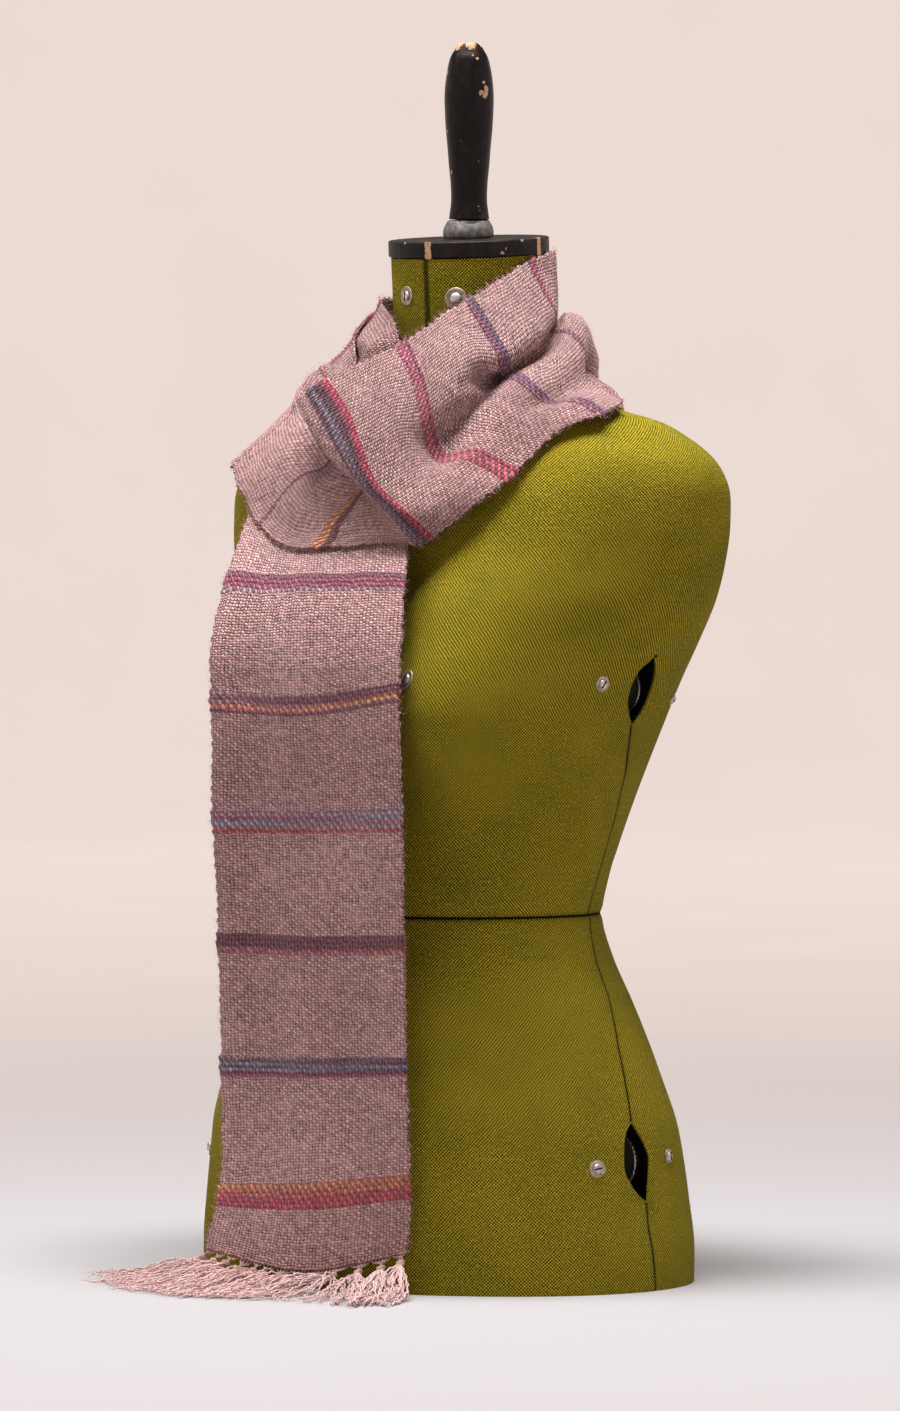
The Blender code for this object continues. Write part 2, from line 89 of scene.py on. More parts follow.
SETTLED = {"turn": 33.0, "forward": 0.099, "sideways": 0.031, "from": 58.0}


def smooth_table(rows, at, key=0):
    """Each column of the table at the given keys, by a Catmull-Rom spline that allows for uneven rows."""
    rows = np.asarray(rows, float)
    keys, values = rows[:, key], np.delete(rows, key, axis=1)
    slopes = np.gradient(values, keys, axis=0)
    at = np.clip(np.atleast_1d(np.asarray(at, float)), keys[0], keys[-1])
    i = np.clip(np.searchsorted(keys, at, side="right") - 1, 0, len(keys) - 2)
    span = (keys[i + 1] - keys[i])[:, None]
    t = ((at - keys[i])[:, None]) / span
    t2, t3 = t * t, t * t * t
    return (
        (2 * t3 - 3 * t2 + 1) * values[i]
        + (t3 - 2 * t2 + t) * span * slopes[i]
        + (3 * t2 - 2 * t3) * values[i + 1]
        + (t3 - t2) * span * slopes[i + 1]
    )


def settle_drop(x, y):
    """How far the tilted plane of the cap lies below its middle, at a place given from that middle."""
    turn = math.radians(SETTLED["turn"])
    forward = x * math.sin(turn) - y * math.cos(turn)
    sideways = -x * math.cos(turn) - y * math.sin(turn)
    return SETTLED["forward"] * forward + SETTLED["sideways"] * sideways


def torso_points(height, turn):
    """Points of the torso's surface, in cm, at heights (cm) and turns (radians from the form's left)."""
    height, turn = np.broadcast_arrays(np.asarray(height, float), np.asarray(turn, float))
    flat = smooth_table(TORSO, height.ravel())
    half_width, half_depth, forward = (flat[:, k].reshape(height.shape) for k in range(3))
    x = half_width * np.cos(turn)
    y = half_depth * np.sin(turn) - forward
    rise = np.where(height > BUST["height"], (height - BUST["height"]) / BUST["up"], (height - BUST["height"]) / BUST["down"])
    swell = BUST["reach"] * np.exp(-(rise**2)) * sum(np.exp(-(((x - side * BUST["apart"]) / BUST["wide"]) ** 2)) for side in (-1, 1))
    y = y - swell * np.clip(-np.sin(turn), 0, 1) ** 0.6
    ease = np.clip((height - SETTLED["from"]) / (TORSO[-1][0] - SETTLED["from"]), 0, 1)
    z = height - ease * ease * (3 - 2 * ease) * settle_drop(x, y - NECK_AXIS_Y / CM)
    return np.stack([x, y, z], axis=-1)


def torso_heights(count):
    fine = np.linspace(0, TORSO[-1][0], 900)
    wide = smooth_table(TORSO, fine)[:, 0]
    along = np.concatenate([[0], np.cumsum(np.hypot(np.diff(fine), 0.8 * np.diff(wide)))])
    return np.interp(np.linspace(0, along[-1], count), along, fine)


def on_form(turn, height, lift=0.0):
    """A point of the form's surface and the outward normal there, in metres; turn in degrees, height in cm."""
    turn = math.radians(turn)
    step = 0.02
    middle = torso_points(height, turn)
    round_it = torso_points(height, turn + step) - torso_points(height, turn - step)
    up_it = torso_points(min(height + 0.2, 65.6), turn) - torso_points(max(height - 0.2, 0), turn)
    normal = np.cross(round_it, up_it)
    normal /= np.linalg.norm(normal)
    return Vector(middle * CM + normal * lift), Vector(normal)


# --------------------------------------------------------------- cloth tables
# "station" is the distance along the warp from the front hem, in cm. Each row
# is one weft line, through points from the outer selvedge to the inner one.
CLOTH = {"width": 14.8, "length": 172.0, "thick": 0.20}

FRONT_TAIL = [
    # station  outer                middle               inner
    (0.0, (-9.7, -13.3, 2.2), (-2.2, -13.2, 1.2), (5.3, -12.5, 2.7)),
    (4.2, (-9.3, -12.3, 5.5), (-1.9, -12.8, 5.9), (5.6, -12.8, 6.9)),
    (11.7, (-9.5, -11.7, 13.8), (-2.0, -12.4, 14.0), (5.5, -13.1, 14.4)),
    (19.1, (-9.5, -12.0, 21.6), (-2.0, -12.5, 21.6), (5.5, -13.4, 21.9)),
    (26.5, (-9.3, -12.8, 29.3), (-1.8, -13.1, 29.4), (5.8, -14.0, 29.7)),
    (34.0, (-9.0, -13.4, 37.0), (-1.6, -13.9, 36.8), (5.9, -14.4, 37.7)),
    (38.0, (-9.3, -13.0, 40.8), (-1.9, -13.6, 40.9), (5.6, -13.7, 41.3)),
    (41.4, (-9.5, -11.2, 44.4), (-2.4, -12.1, 44.4), (4.7, -12.0, 44.4)),
    (45.0, (-10.8, -7.0, 48.3), (-3.5, -9.1, 47.2), (2.7, -8.5, 47.8)),
    (50.0, (-10.9, -5.1, 51.0), (-3.8, -7.4, 50.9), (0.8, -6.1, 52.6)),
    (54.0, (-10.6, -3.6, 53.4), (-4.4, -5.7, 54.6), (-1.1, -3.5, 56.6)),
]
NECK_BACK = [
    # station  low_turn high_turn reach  low   high  roll
    (58.0, -80, -19, 12.0, 55.6, 60.6, 0.25),
    (61.5, -100, -35, 11.2, 55.6, 62.0, 0.6),
    (65.0, -121, -63, 10.6, 55.4, 62.9, 0.9),
    (68.5, -142, -97, 10.2, 55.0, 63.1, 1.0),
    (72.0, -163, -131, 9.9, 54.9, 63.3, 1.0),
    (75.5, -186, -165, 9.8, 54.8, 63.7, 1.0),
    (79.0, -209, -199, 9.7, 55.0, 64.8, 1.0),
]
NECK_HUG = 5.9
NECK_ROLL = [
    # across  outward  upward  straight_outward  straight_upward
    (0.0, 1.00, 0.00, 1.00, 0.00),
    (0.125, 0.93, 0.23, 0.91, 0.14),
    (0.25, 0.80, 0.48, 0.80, 0.26),
    (0.375, 0.53, 0.60, 0.66, 0.34),
    (0.5, 0.30, 0.46, 0.50, 0.41),
    (0.625, 0.17, 0.38, 0.34, 0.48),
    (0.75, 0.08, 0.52, 0.20, 0.60),
    (0.875, 0.02, 0.76, 0.08, 0.78),
    (1.0, 0.00, 1.00, 0.00, 1.00),
]
FRONT_BAND = [
    # station  low  ridge  hollow  lobe  lip  valley  rim  slope  high
    (82.0, (7.6, 9.2, 55.5), (7.4, 8.8, 57.4), (6.1, 8.3, 59.6), (5.5, 7.9, 61.5), (4.6, 7.1, 62.0), (4.0, 6.9, 61.1), (4.2, 6.5, 62.3), (4.2, 6.4, 64.1), (4.1, 6.4, 66.0)),
    (84.0, (8.1, 6.9, 56.3), (7.4, 6.7, 57.5), (7.3, 5.9, 59.4), (6.7, 5.5, 61.2), (5.7, 5.4, 61.6), (5.0, 5.3, 61.0), (5.3, 4.6, 62.0), (5.2, 4.5, 63.8), (4.9, 4.2, 65.7)),
    (86.0, (10.1, 4.4, 56.1), (8.7, 4.5, 57.0), (8.2, 4.1, 58.4), (7.9, 3.6, 59.7), (6.9, 3.6, 60.5), (5.9, 4.1, 60.7), (6.3, 2.6, 61.6), (5.9, 1.9, 63.3), (5.1, 1.7, 65.1)),
    (89.7, (11.8, 2.2, 55.9), (10.6, 1.4, 56.3), (9.1, 1.2, 57.0), (8.7, 0.5, 58.0), (7.7, 0.9, 59.1), (6.8, 1.6, 59.5), (7.2, -0.1, 60.1), (6.1, -0.9, 61.9), (4.6, -1.1, 63.7)),
    (93.4, (12.2, -0.7, 55.1), (10.6, -1.0, 56.0), (9.2, -1.9, 55.9), (8.5, -3.0, 56.8), (7.0, -2.9, 57.6), (5.5, -2.2, 57.1), (6.5, -3.4, 58.3), (5.4, -3.4, 60.4), (3.7, -3.1, 62.5)),
    (97.1, (10.4, -3.0, 54.0), (9.5, -3.7, 54.1), (8.6, -4.4, 54.6), (7.6, -5.0, 55.3), (6.4, -4.9, 55.8), (5.5, -4.6, 55.8), (5.6, -5.7, 56.6), (4.5, -5.7, 58.7), (2.5, -5.0, 61.2)),
    (100.8, (8.8, -6.0, 51.2), (7.7, -6.5, 51.9), (6.5, -7.0, 52.5), (5.3, -7.1, 52.2), (4.4, -7.2, 52.1), (3.7, -7.3, 52.9), (3.6, -7.8, 54.5), (2.9, -7.5, 56.9), (1.0, -6.7, 59.7)),
    (104.5, (7.0, -8.1, 49.1), (6.4, -8.5, 49.6), (5.6, -8.9, 50.1), (4.8, -9.1, 50.5), (4.0, -9.2, 51.1), (3.2, -9.3, 52.1), (2.4, -9.4, 53.6), (1.3, -9.2, 55.7), (-1.0, -8.4, 58.4)),
    (108.3, (4.5, -9.4, 47.0), (4.0, -10.3, 47.9), (3.3, -10.8, 48.8), (2.5, -10.9, 49.5), (1.6, -11.0, 50.3), (0.7, -10.9, 51.4), (-0.3, -10.7, 53.1), (-1.6, -10.2, 55.0), (-3.6, -9.5, 57.0)),
    (110.0, (3.4, -9.6, 46.7), (2.9, -10.3, 47.7), (2.2, -10.5, 48.7), (1.3, -10.6, 49.7), (0.3, -10.6, 50.6), (-1.1, -10.4, 51.6), (-2.6, -10.1, 52.9), (-4.0, -9.8, 54.5), (-5.5, -9.0, 56.2)),
]
SHOULDER_TURN = [
    # station  low  skirt  sweep  swell  crest  rise  stand  lean  high
    (111.6, (2.2, -9.7, 46.6), (1.9, -10.0, 47.6), (1.5, -10.0, 48.7), (0.9, -9.8, 49.7), (-0.1, -9.4, 50.9), (-1.4, -8.9, 52.2), (-2.8, -8.6, 53.6), (-4.3, -8.4, 55.3), (-5.7, -8.0, 57.0)),
    (113.5, (-0.1, -9.9, 46.4), (0.2, -9.8, 47.6), (0.5, -9.5, 48.8), (0.3, -9.1, 50.0), (-0.5, -8.6, 51.5), (-1.6, -8.2, 53.0), (-2.9, -7.7, 54.6), (-4.4, -7.3, 56.2), (-5.9, -6.9, 57.8)),
    (115.7, (-2.9, -9.8, 46.1), (-2.3, -9.2, 48.3), (-1.3, -9.0, 49.5), (-0.6, -8.6, 50.5), (-1.0, -8.1, 52.1), (-2.0, -7.5, 53.7), (-3.2, -7.0, 55.2), (-4.5, -6.4, 56.7), (-5.9, -5.7, 58.3)),
    (119.4, (-6.2, -9.1, 46.4), (-5.4, -8.7, 48.8), (-4.3, -8.4, 50.5), (-3.2, -8.0, 51.7), (-2.8, -7.3, 53.2), (-3.2, -6.6, 54.9), (-3.8, -5.8, 56.4), (-4.7, -5.0, 57.8), (-5.8, -4.0, 59.1)),
    (123.1, (-9.3, -7.7, 48.0), (-7.6, -7.8, 49.9), (-6.1, -7.6, 51.3), (-4.4, -7.4, 51.8), (-3.7, -6.7, 53.0), (-3.8, -5.6, 54.9), (-4.3, -4.5, 56.7), (-5.0, -3.4, 58.6), (-5.8, -2.1, 60.4)),
    (126.9, (-11.6, -6.1, 50.1), (-10.0, -6.3, 52.0), (-8.3, -6.1, 53.6), (-6.8, -5.5, 54.9), (-6.2, -4.5, 56.3), (-5.9, -3.5, 57.6), (-5.8, -2.3, 59.1), (-5.8, -1.1, 60.5), (-6.0, 0.2, 61.9)),
    (128.6, (-13.0, -4.9, 50.9), (-11.2, -4.9, 52.6), (-9.2, -4.8, 54.3), (-7.9, -3.9, 55.7), (-7.0, -3.0, 57.0), (-6.6, -2.0, 58.5), (-6.3, -0.9, 59.9), (-6.1, 0.2, 61.2), (-6.1, 1.5, 62.5)),
    (130.6, (-14.4, -3.4, 52.1), (-12.3, -3.3, 53.6), (-10.3, -3.1, 55.1), (-8.9, -2.4, 56.4), (-7.9, -1.7, 57.9), (-7.3, -0.8, 59.2), (-6.8, 0.2, 60.5), (-6.4, 1.3, 61.8), (-6.3, 2.8, 63.1)),
]
BACK_TAIL = [
    # station  outer                middle               inner
    (134.3, (-15.9, 0.2, 52.6), (-10.7, 2.7, 58.4), (-5.8, 6.6, 62.0)),
    (138.0, (-16.8, 3.6, 51.9), (-10.8, 6.8, 57.0), (-4.9, 10.2, 59.9)),
    (141.7, (-17.2, 7.2, 50.4), (-11.1, 10.7, 55.1), (-4.4, 13.0, 56.8)),
    (145.4, (-17.0, 10.0, 48.0), (-10.5, 13.9, 52.0), (-3.3, 15.1, 53.0)),
    (149.1, (-16.7, 11.8, 44.8), (-10.0, 15.2, 48.0), (-2.6, 15.8, 48.9)),
    (155.0, (-16.3, 13.2, 39.2), (-9.5, 15.7, 41.8), (-2.0, 16.1, 43.0)),
    (163.0, (-16.0, 14.2, 31.4), (-8.9, 15.9, 33.6), (-1.6, 16.3, 35.0)),
    (172.0, (-15.9, 14.8, 22.6), (-8.7, 15.8, 24.5), (-1.4, 16.4, 26.0)),
]
# The stretches, with what each lies over, and the space between their middles.
STRETCHES = [
    # name            first   last   lies over
    ("front_tail", 0.0, 58.0, ()),
    ("neck_back", 58.0, 82.0, ()),
    ("front_band", 82.0, 111.0, ("front_tail",)),
    ("shoulder_turn", 111.0, 132.0, ("front_tail", "neck_back")),
    ("back_tail", 132.0, 172.0, ("neck_back",)),
]
CLEAR = {"form": 0.30, "cloth": 0.36}

# Soft creases of the cloth, each a low ridge (or trough, if its rise is
# negative) from one place of the cloth to another: station and across, in cm.
CREASES = [
    # from            to              half_width  rise
    ((3.0, 3.6), (40.0, 2.6), 2.2, -0.18),
    ((10.0, 1.2), (47.0, 0.9), 1.0, 0.22),
    ((0.0, 7.4), (22.0, 6.3), 1.8, 0.14),
    ((6.0, 11.2), (33.0, 10.2), 2.4, -0.16),
    ((24.0, 12.8), (45.0, 12.4), 1.6, 0.12),
    ((38.0, 6.8), (46.0, 8.6), 1.4, 0.16),
    ((84.0, 3.2), (90.0, 5.6), 0.9, 0.16),
    ((86.5, 1.6), (92.0, 2.2), 0.8, 0.14),
    ((91.0, 3.0), (96.5, 4.2), 0.9, -0.12),
    ((97.0, 9.6), (106.0, 8.4), 1.5, 0.10),
    ((99.0, 3.8), (104.0, 6.6), 1.0, 0.12),
    ((112.5, 1.6), (123.0, 2.6), 1.0, 0.14),
    ((117.0, 10.4), (129.0, 11.8), 1.4, -0.12),
    ((60.0, 4.0), (80.0, 5.0), 1.2, 0.16),
    ((134.0, 4.2), (150.0, 5.2), 2.0, 0.18),
    ((140.0, 9.6), (171.0, 9.0), 2.2, -0.20),
    ((150.0, 2.6), (171.0, 3.6), 1.8, 0.16),
    ((146.0, 12.6), (168.0, 12.0), 1.5, 0.16),
    ((57.0, 12.6), (65.0, 11.6), 1.7, 1.15),
    ((77.0, 3.0), (87.0, 2.9), 1.2, -0.95),
    ((84.5, 8.7), (97.5, 8.8), 0.75, -0.55),
    ((84.0, 10.6), (98.0, 10.4), 1.1, 0.22),
]

# Weave: warp ends and weft picks per cm, and the thick weft stripes. A stripe's
# bands follow the station upwards; a colour runs from the outer selvedge to the
# inner one, because each pick's yarn changes shade along its length.
ENDS_APART, PICKS_APART = 0.25, 0.17
CANVAS_THREAD = 0.00108
YARN = {
    # name       sRGB
    "warp": (215, 172, 170),
    "weft": (187, 138, 138),
    # shade is no yarn: it is painted shade for the gaps round the yarn crossings
    "shade": (52, 27, 26),
    "plum": (104, 32, 62),
    "grape": (132, 58, 88),
    "violet": (134, 84, 118),
    "navy": (92, 56, 102),
    "ink": (64, 38, 72),
    "slate": (156, 146, 170),
    "lilac": (186, 155, 170),
    "mauve": (182, 128, 138),
    "magenta": (184, 60, 102),
    "rose": (208, 118, 138),
    "crimson": (204, 46, 86),
    "coral": (222, 98, 98),
    "orange": (234, 140, 90),
    "ochre": (234, 168, 102),
    "rust": (192, 86, 74),
    "maroon": (126, 44, 56),
}
STRIPES = {
    # station: bands of (width in cm, outer yarn, inner yarn); two names joined by + alternate, row by row
    4.2: [(0.68, "crimson+magenta", "rust+crimson"), (0.51, "coral+rust", "rust+orange"), (0.34, "ochre+orange", "orange+rust")],
    11.7: [(0.34, "magenta+grape", "magenta+plum"), (0.51, "slate+ink", "ink+slate"), (0.34, "ink+mauve", "plum+navy")],
    19.1: [(0.34, "rust+mauve", "mauve+rust"), (0.68, "plum+plum", "plum+maroon"), (0.17, "grape", "plum")],
    26.5: [(0.34, "rust", "rust+mauve"), (0.51, "slate+slate", "slate+rust"), (0.34, "magenta+lilac", "slate+lilac"), (0.17, "rose", "slate")],
    34.0: [(0.34, "maroon+rose", "maroon+mauve"), (0.34, "orange+mauve", "ochre+rust"), (0.51, "mauve+grape", "plum+grape"), (0.17, "mauve", "mauve")],
    41.4: [(0.34, "lilac+mauve", "mauve+grape"), (0.68, "magenta+grape", "magenta+plum"), (0.17, "grape+mauve", "plum+grape")],
    48.9: [(0.51, "crimson", "magenta"), (0.68, "lilac", "navy")],
    56.3: [(0.51, "violet", "slate"), (0.34, "rose", "coral")],
    63.7: [(0.51, "plum", "grape"), (0.51, "magenta", "rose")],
    71.1: [(0.51, "ochre", "orange"), (0.51, "crimson", "magenta")],
    78.5: [(0.51, "magenta", "grape"), (0.34, "navy", "violet")],
    85.9: [(0.34, "ink+violet", "mauve+magenta"), (0.34, "grape+navy", "magenta+grape")],
    93.4: [(0.51, "violet+navy", "ink+navy"), (0.51, "grape+mauve", "grape+violet")],
    100.8: [(0.34, "crimson+magenta", "magenta+grape"), (0.51, "coral+rose", "rose+magenta"), (0.34, "magenta+coral", "magenta+rose")],
    108.2: [(0.34, "crimson", "crimson"), (0.17, "magenta", "crimson"), (0.51, "plum+ink", "plum+plum"), (0.51, "slate+plum", "ink+slate"), (0.17, "plum", "plum")],
    115.7: [(0.51, "plum+grape", "plum+mauve"), (0.68, "ochre+orange", "mauve+ochre")],
    123.1: [(0.17, "grape", "plum"), (0.17, "navy+magenta", "grape")],
    130.5: [(0.17, "mauve", "violet"), (0.17, "rose", "grape")],
    137.9: [(0.51, "crimson", "magenta"), (0.51, "slate+lilac", "navy+slate")],
    145.3: [(0.34, "ochre", "coral"), (0.68, "plum+grape", "plum")],
    152.7: [(0.68, "violet+mauve", "grape+violet"), (0.34, "magenta", "rose")],
    160.1: [(0.34, "navy", "slate"), (0.51, "lilac+rose", "rose"), (0.34, "plum", "plum")],
    167.5: [(0.51, "orange+ochre", "ochre"), (0.51, "rust", "magenta"), (0.51, "magenta+rose", "crimson")],
}

# The fringe: knotted bunches along the hem, and how those of the front lie on
# the table: where a bunch leaves its knot, bends and ends.
BUNCHES = [0.37, 1.25, 2.1, 3.1, 4.1, 4.8, 6.0, 7.0, 8.4, 9.8, 11.4, 13.0, 14.3]
FRINGE_LAY = [
    # across  bend                  tip
    (0.0, (-12.6, -13.5, 0.9), (-18.4, -13.9, 0.30)),
    (1.2, (-11.2, -14.7, 0.8), (-15.4, -17.2, 0.25)),
    (2.4, (-9.3, -16.0, 0.8), (-12.0, -19.9, 0.20)),
    (4.0, (-7.0, -16.8, 0.8), (-9.0, -20.9, 0.20)),
    (6.0, (-4.7, -16.7, 0.8), (-6.4, -21.4, 0.20)),
    (8.4, (-2.1, -16.6, 0.8), (-3.4, -21.0, 0.20)),
    (9.8, (-0.2, -16.4, 0.8), (-1.8, -20.6, 0.20)),
    (11.2, (2.8, -16.4, 0.6), (4.8, -19.8, 0.20)),
    (13.0, (5.0, -16.4, 0.6), (6.4, -19.9, 0.20)),
    (14.8, (6.8, -15.4, 0.6), (7.8, -18.4, 0.20)),
]
FRINGE_BACK_DROP = 8.6


def through(points, count):
    """A smooth line through a few points, its bends kept by spacing the points unevenly."""
    points = np.asarray(points, float)
    steps = np.linalg.norm(np.diff(points, axis=0), axis=1) ** 0.75
    keys = np.concatenate([[0], np.cumsum(steps)])
    rows = np.concatenate([keys[:, None], points], axis=1)
    return smooth_table(rows, np.interp(np.linspace(0, len(points) - 1, count), np.arange(len(points)), keys))


def even(line, count):
    """The same line, divided evenly along its length."""
    along = np.concatenate([[0], np.cumsum(np.linalg.norm(np.diff(line, axis=0), axis=1))])
    at = np.linspace(0, along[-1], count)
    return np.stack([np.interp(at, along, line[:, axis]) for axis in range(3)], axis=1)


def neck_section(row):
    """One weft line behind the neck: the rolled profile, wrapped at its turn and reach."""
    _, low_turn, high_turn, reach, low, high, roll = row
    points = []
    for across, outward, upward, straight_outward, straight_upward in NECK_ROLL:
        out = roll * outward + (1 - roll) * straight_outward
        up = roll * upward + (1 - roll) * straight_upward
        turn = math.radians(low_turn + (high_turn - low_turn) * across)
        radius = NECK_HUG + (reach - NECK_HUG) * out
        points.append((radius * math.sin(turn), 3.0 - radius * math.cos(turn), low + (high - low) * up))
    return points


def cloth_lines(stations, across):
    """Weft lines of the cloth at any stations, in cm."""
    lines = {}
    for table in (FRONT_TAIL, FRONT_BAND, SHOULDER_TURN, BACK_TAIL):
        for station, *points in table:
            lines[station] = points
    for row in NECK_BACK:
        lines[row[0]] = neck_section(row)
    keys = sorted(lines)
    tabled = np.array([even(through(lines[s], 161), 61) for s in keys])
    flat = np.concatenate([np.array(keys)[:, None], tabled.reshape(len(keys), -1)], axis=1)
    rows = smooth_table(flat, stations).reshape(len(stations), 61, 3)
    return np.array([even(row, across) for row in rows])


# ------------------------------------------------------------------ grid tools
def grid_faces(rows, columns, ring=False):
    wide = columns if ring else columns - 1
    return [
        (i * columns + j, i * columns + (j + 1) % columns, (i + 1) * columns + (j + 1) % columns, (i + 1) * columns + j)
        for i in range(rows - 1)
        for j in range(wide)
    ]


def grid_normals(grid):
    normals = np.cross(np.gradient(grid, axis=1), np.gradient(grid, axis=0))
    return normals / np.maximum(np.linalg.norm(normals, axis=2, keepdims=True), 1e-9)


def finer(grid, rows_from, rows_to, columns_from, columns_to):
    """A grid of points or values, read smoothly at other rows and columns."""
    rows, columns, size = grid.shape
    table = np.concatenate([np.asarray(rows_from)[:, None], grid.reshape(rows, -1)], axis=1)
    grid = smooth_table(table, rows_to).reshape(len(rows_to), columns, size).transpose(1, 0, 2)
    table = np.concatenate([np.asarray(columns_from)[:, None], grid.reshape(columns, -1)], axis=1)
    return smooth_table(table, columns_to).reshape(len(columns_to), len(rows_to), size).transpose(1, 0, 2)


def ripple(rows, columns, apart):
    """Smooth seeded waves over a grid given by its two rulers, about -1 to 1, with bumps this far apart."""
    row_keys = np.arange(rows[0] - apart, rows[-1] + 2 * apart, apart)
    column_keys = np.arange(columns[0] - apart, columns[-1] + 2 * apart, apart)
    seeds = RNG.uniform(-1, 1, (len(row_keys), len(column_keys), 1))
    return finer(seeds, row_keys, rows, column_keys, columns)[:, :, 0]


def push_clear(grid, tree, gap, reach, facing):
    """Lift the points that lie under or too near a surface, along the surface's own normal."""
    moved = grid.copy()
    for index in np.ndindex(grid.shape[:2]):
        point = Vector(grid[index])
        spot, normal, _, _ = tree.find_nearest(point, reach)
        if spot is None:
            continue
        height = (point - spot).dot(normal)
        if abs(height) < facing * (point - spot).length:
            continue
        if height < gap:
            moved[index] = np.array(point + normal * (gap - height))
    return moved


def soften(lift, passes):
    for _ in range(passes):
        padded = np.pad(lift, ((1, 1), (1, 1), (0, 0)), mode="edge")
        lift = (padded[:-2, 1:-1] + padded[2:, 1:-1] + padded[1:-1, :-2] + padded[1:-1, 2:] + 4 * lift) / 8
    return lift


def linear(colour):
    """Linear light from sRGB 0-255."""
    c = np.asarray(colour, float) / 255
    return np.where(c <= 0.04045, c / 12.92, ((c + 0.055) / 1.055) ** 2.4)


# ---------------------------------------------------------------- mesh helpers
ROOT = []


def piece(name, points, faces, look, smooth=True, attributes=None):
    """A mesh piece that rides on the one body, with its point attributes."""
    mesh = bpy.data.meshes.new(name)
    points = np.asarray(points, np.float32)
    faces = np.asarray(faces)
    if faces.ndim == 2:
        sides = faces.shape[1]
        mesh.vertices.add(len(points))
        mesh.vertices.foreach_set("co", points.ravel())
        mesh.loops.add(faces.size)
        mesh.loops.foreach_set("vertex_index", faces.ravel().astype(np.int32))
        mesh.polygons.add(len(faces))
        mesh.polygons.foreach_set("loop_start", np.arange(0, faces.size, sides, dtype=np.int32))
        mesh.update(calc_edges=True)
    else:
        mesh.from_pydata([tuple(p) for p in points], [], [tuple(f) for f in faces])
    for label, values in (attributes or {}).items():
        values = np.asarray(values, np.float32)
        kind = "FLOAT_COLOR" if values.shape[1] == 4 else "FLOAT_VECTOR"
        made = mesh.attributes.new(label, kind, "POINT")
        made.data.foreach_set("color" if kind == "FLOAT_COLOR" else "vector", values.ravel())
    mesh.validate()
    if smooth:
        mesh.shade_smooth()
    mesh.materials.append(look)
    thing = bpy.data.objects.new(name, mesh)
    bpy.context.scene.collection.objects.link(thing)
    ROOT.append(thing)
    return thing


def opaque(colour):
    """Colours with their fourth channel."""
    colour = np.asarray(colour, float)
    return np.concatenate([colour, np.ones(colour.shape[:-1] + (1,))], axis=-1)


def tubes(lines, radii, sides):
    """Round strands along many lines of equal length: points, quads, and which strand each point is of."""
    lines = np.asarray(lines, float)
    count, steps = lines.shape[:2]
    along = np.gradient(lines, axis=1)
    along /= np.maximum(np.linalg.norm(along, axis=2, keepdims=True), 1e-12)
    lean = np.where(np.abs(along[:, :, 2:]) > 0.8, np.array([1.0, 0, 0]), np.array([0, 0, 1.0]))
    first = np.cross(along, lean)
    first /= np.maximum(np.linalg.norm(first, axis=2, keepdims=True), 1e-12)
    second = np.cross(along, first)
    turn = np.arange(sides) * 2 * math.pi / sides
    radii = np.broadcast_to(np.asarray(radii, float), (count, steps))
    ring = first[:, :, None] * np.cos(turn)[:, None] + second[:, :, None] * np.sin(turn)[:, None]
    points = lines[:, :, None] + ring * radii[:, :, None, None]
    base = (np.arange(count) * steps * sides)[:, None, None]
    i, j = np.arange(steps - 1)[:, None] * sides, np.arange(sides)
    quads = np.stack([base + i + j, base + i + (j + 1) % sides, base + i + sides + (j + 1) % sides, base + i + sides + j], axis=-1)
    owner = np.repeat(np.arange(count), steps * sides)
    return points.reshape(-1, 3), quads.reshape(-1, 4), owner


def lathe(profile, steps):
    """A turned shape from (height, radius) rows in cm, bottom or top first, with closed ends."""
    turn = np.arange(steps) * 2 * math.pi / steps
    rings = np.array([[(r * math.cos(a), r * math.sin(a), z) for a in turn] for z, r in profile]) * CM
    points = rings.reshape(-1, 3)
    return points, grid_faces(len(profile), steps, ring=True)


def joined(parts):
    """Several (points, faces) as one."""
    points, faces, start = [], [], 0
    for some, theirs in parts:
        points.append(np.asarray(some, float))
        faces.extend([tuple(int(k) + start for k in face) for face in theirs])
        start += len(some)
    return np.concatenate(points), faces


def placed(points, at, up=(0, 0, 1), side=None):
    """Points moved from the origin to a place, with their own Z along up."""
    up = Vector(up).normalized()
    if side is None:
        turned = Vector((0, 0, 1)).rotation_difference(up).to_matrix()
    else:
        side = (Vector(side) - up * Vector(side).dot(up)).normalized()
        turned = Matrix([side, up.cross(side), up]).transposed()
    return np.asarray(points, float) @ np.array(turned).T + np.array(at)


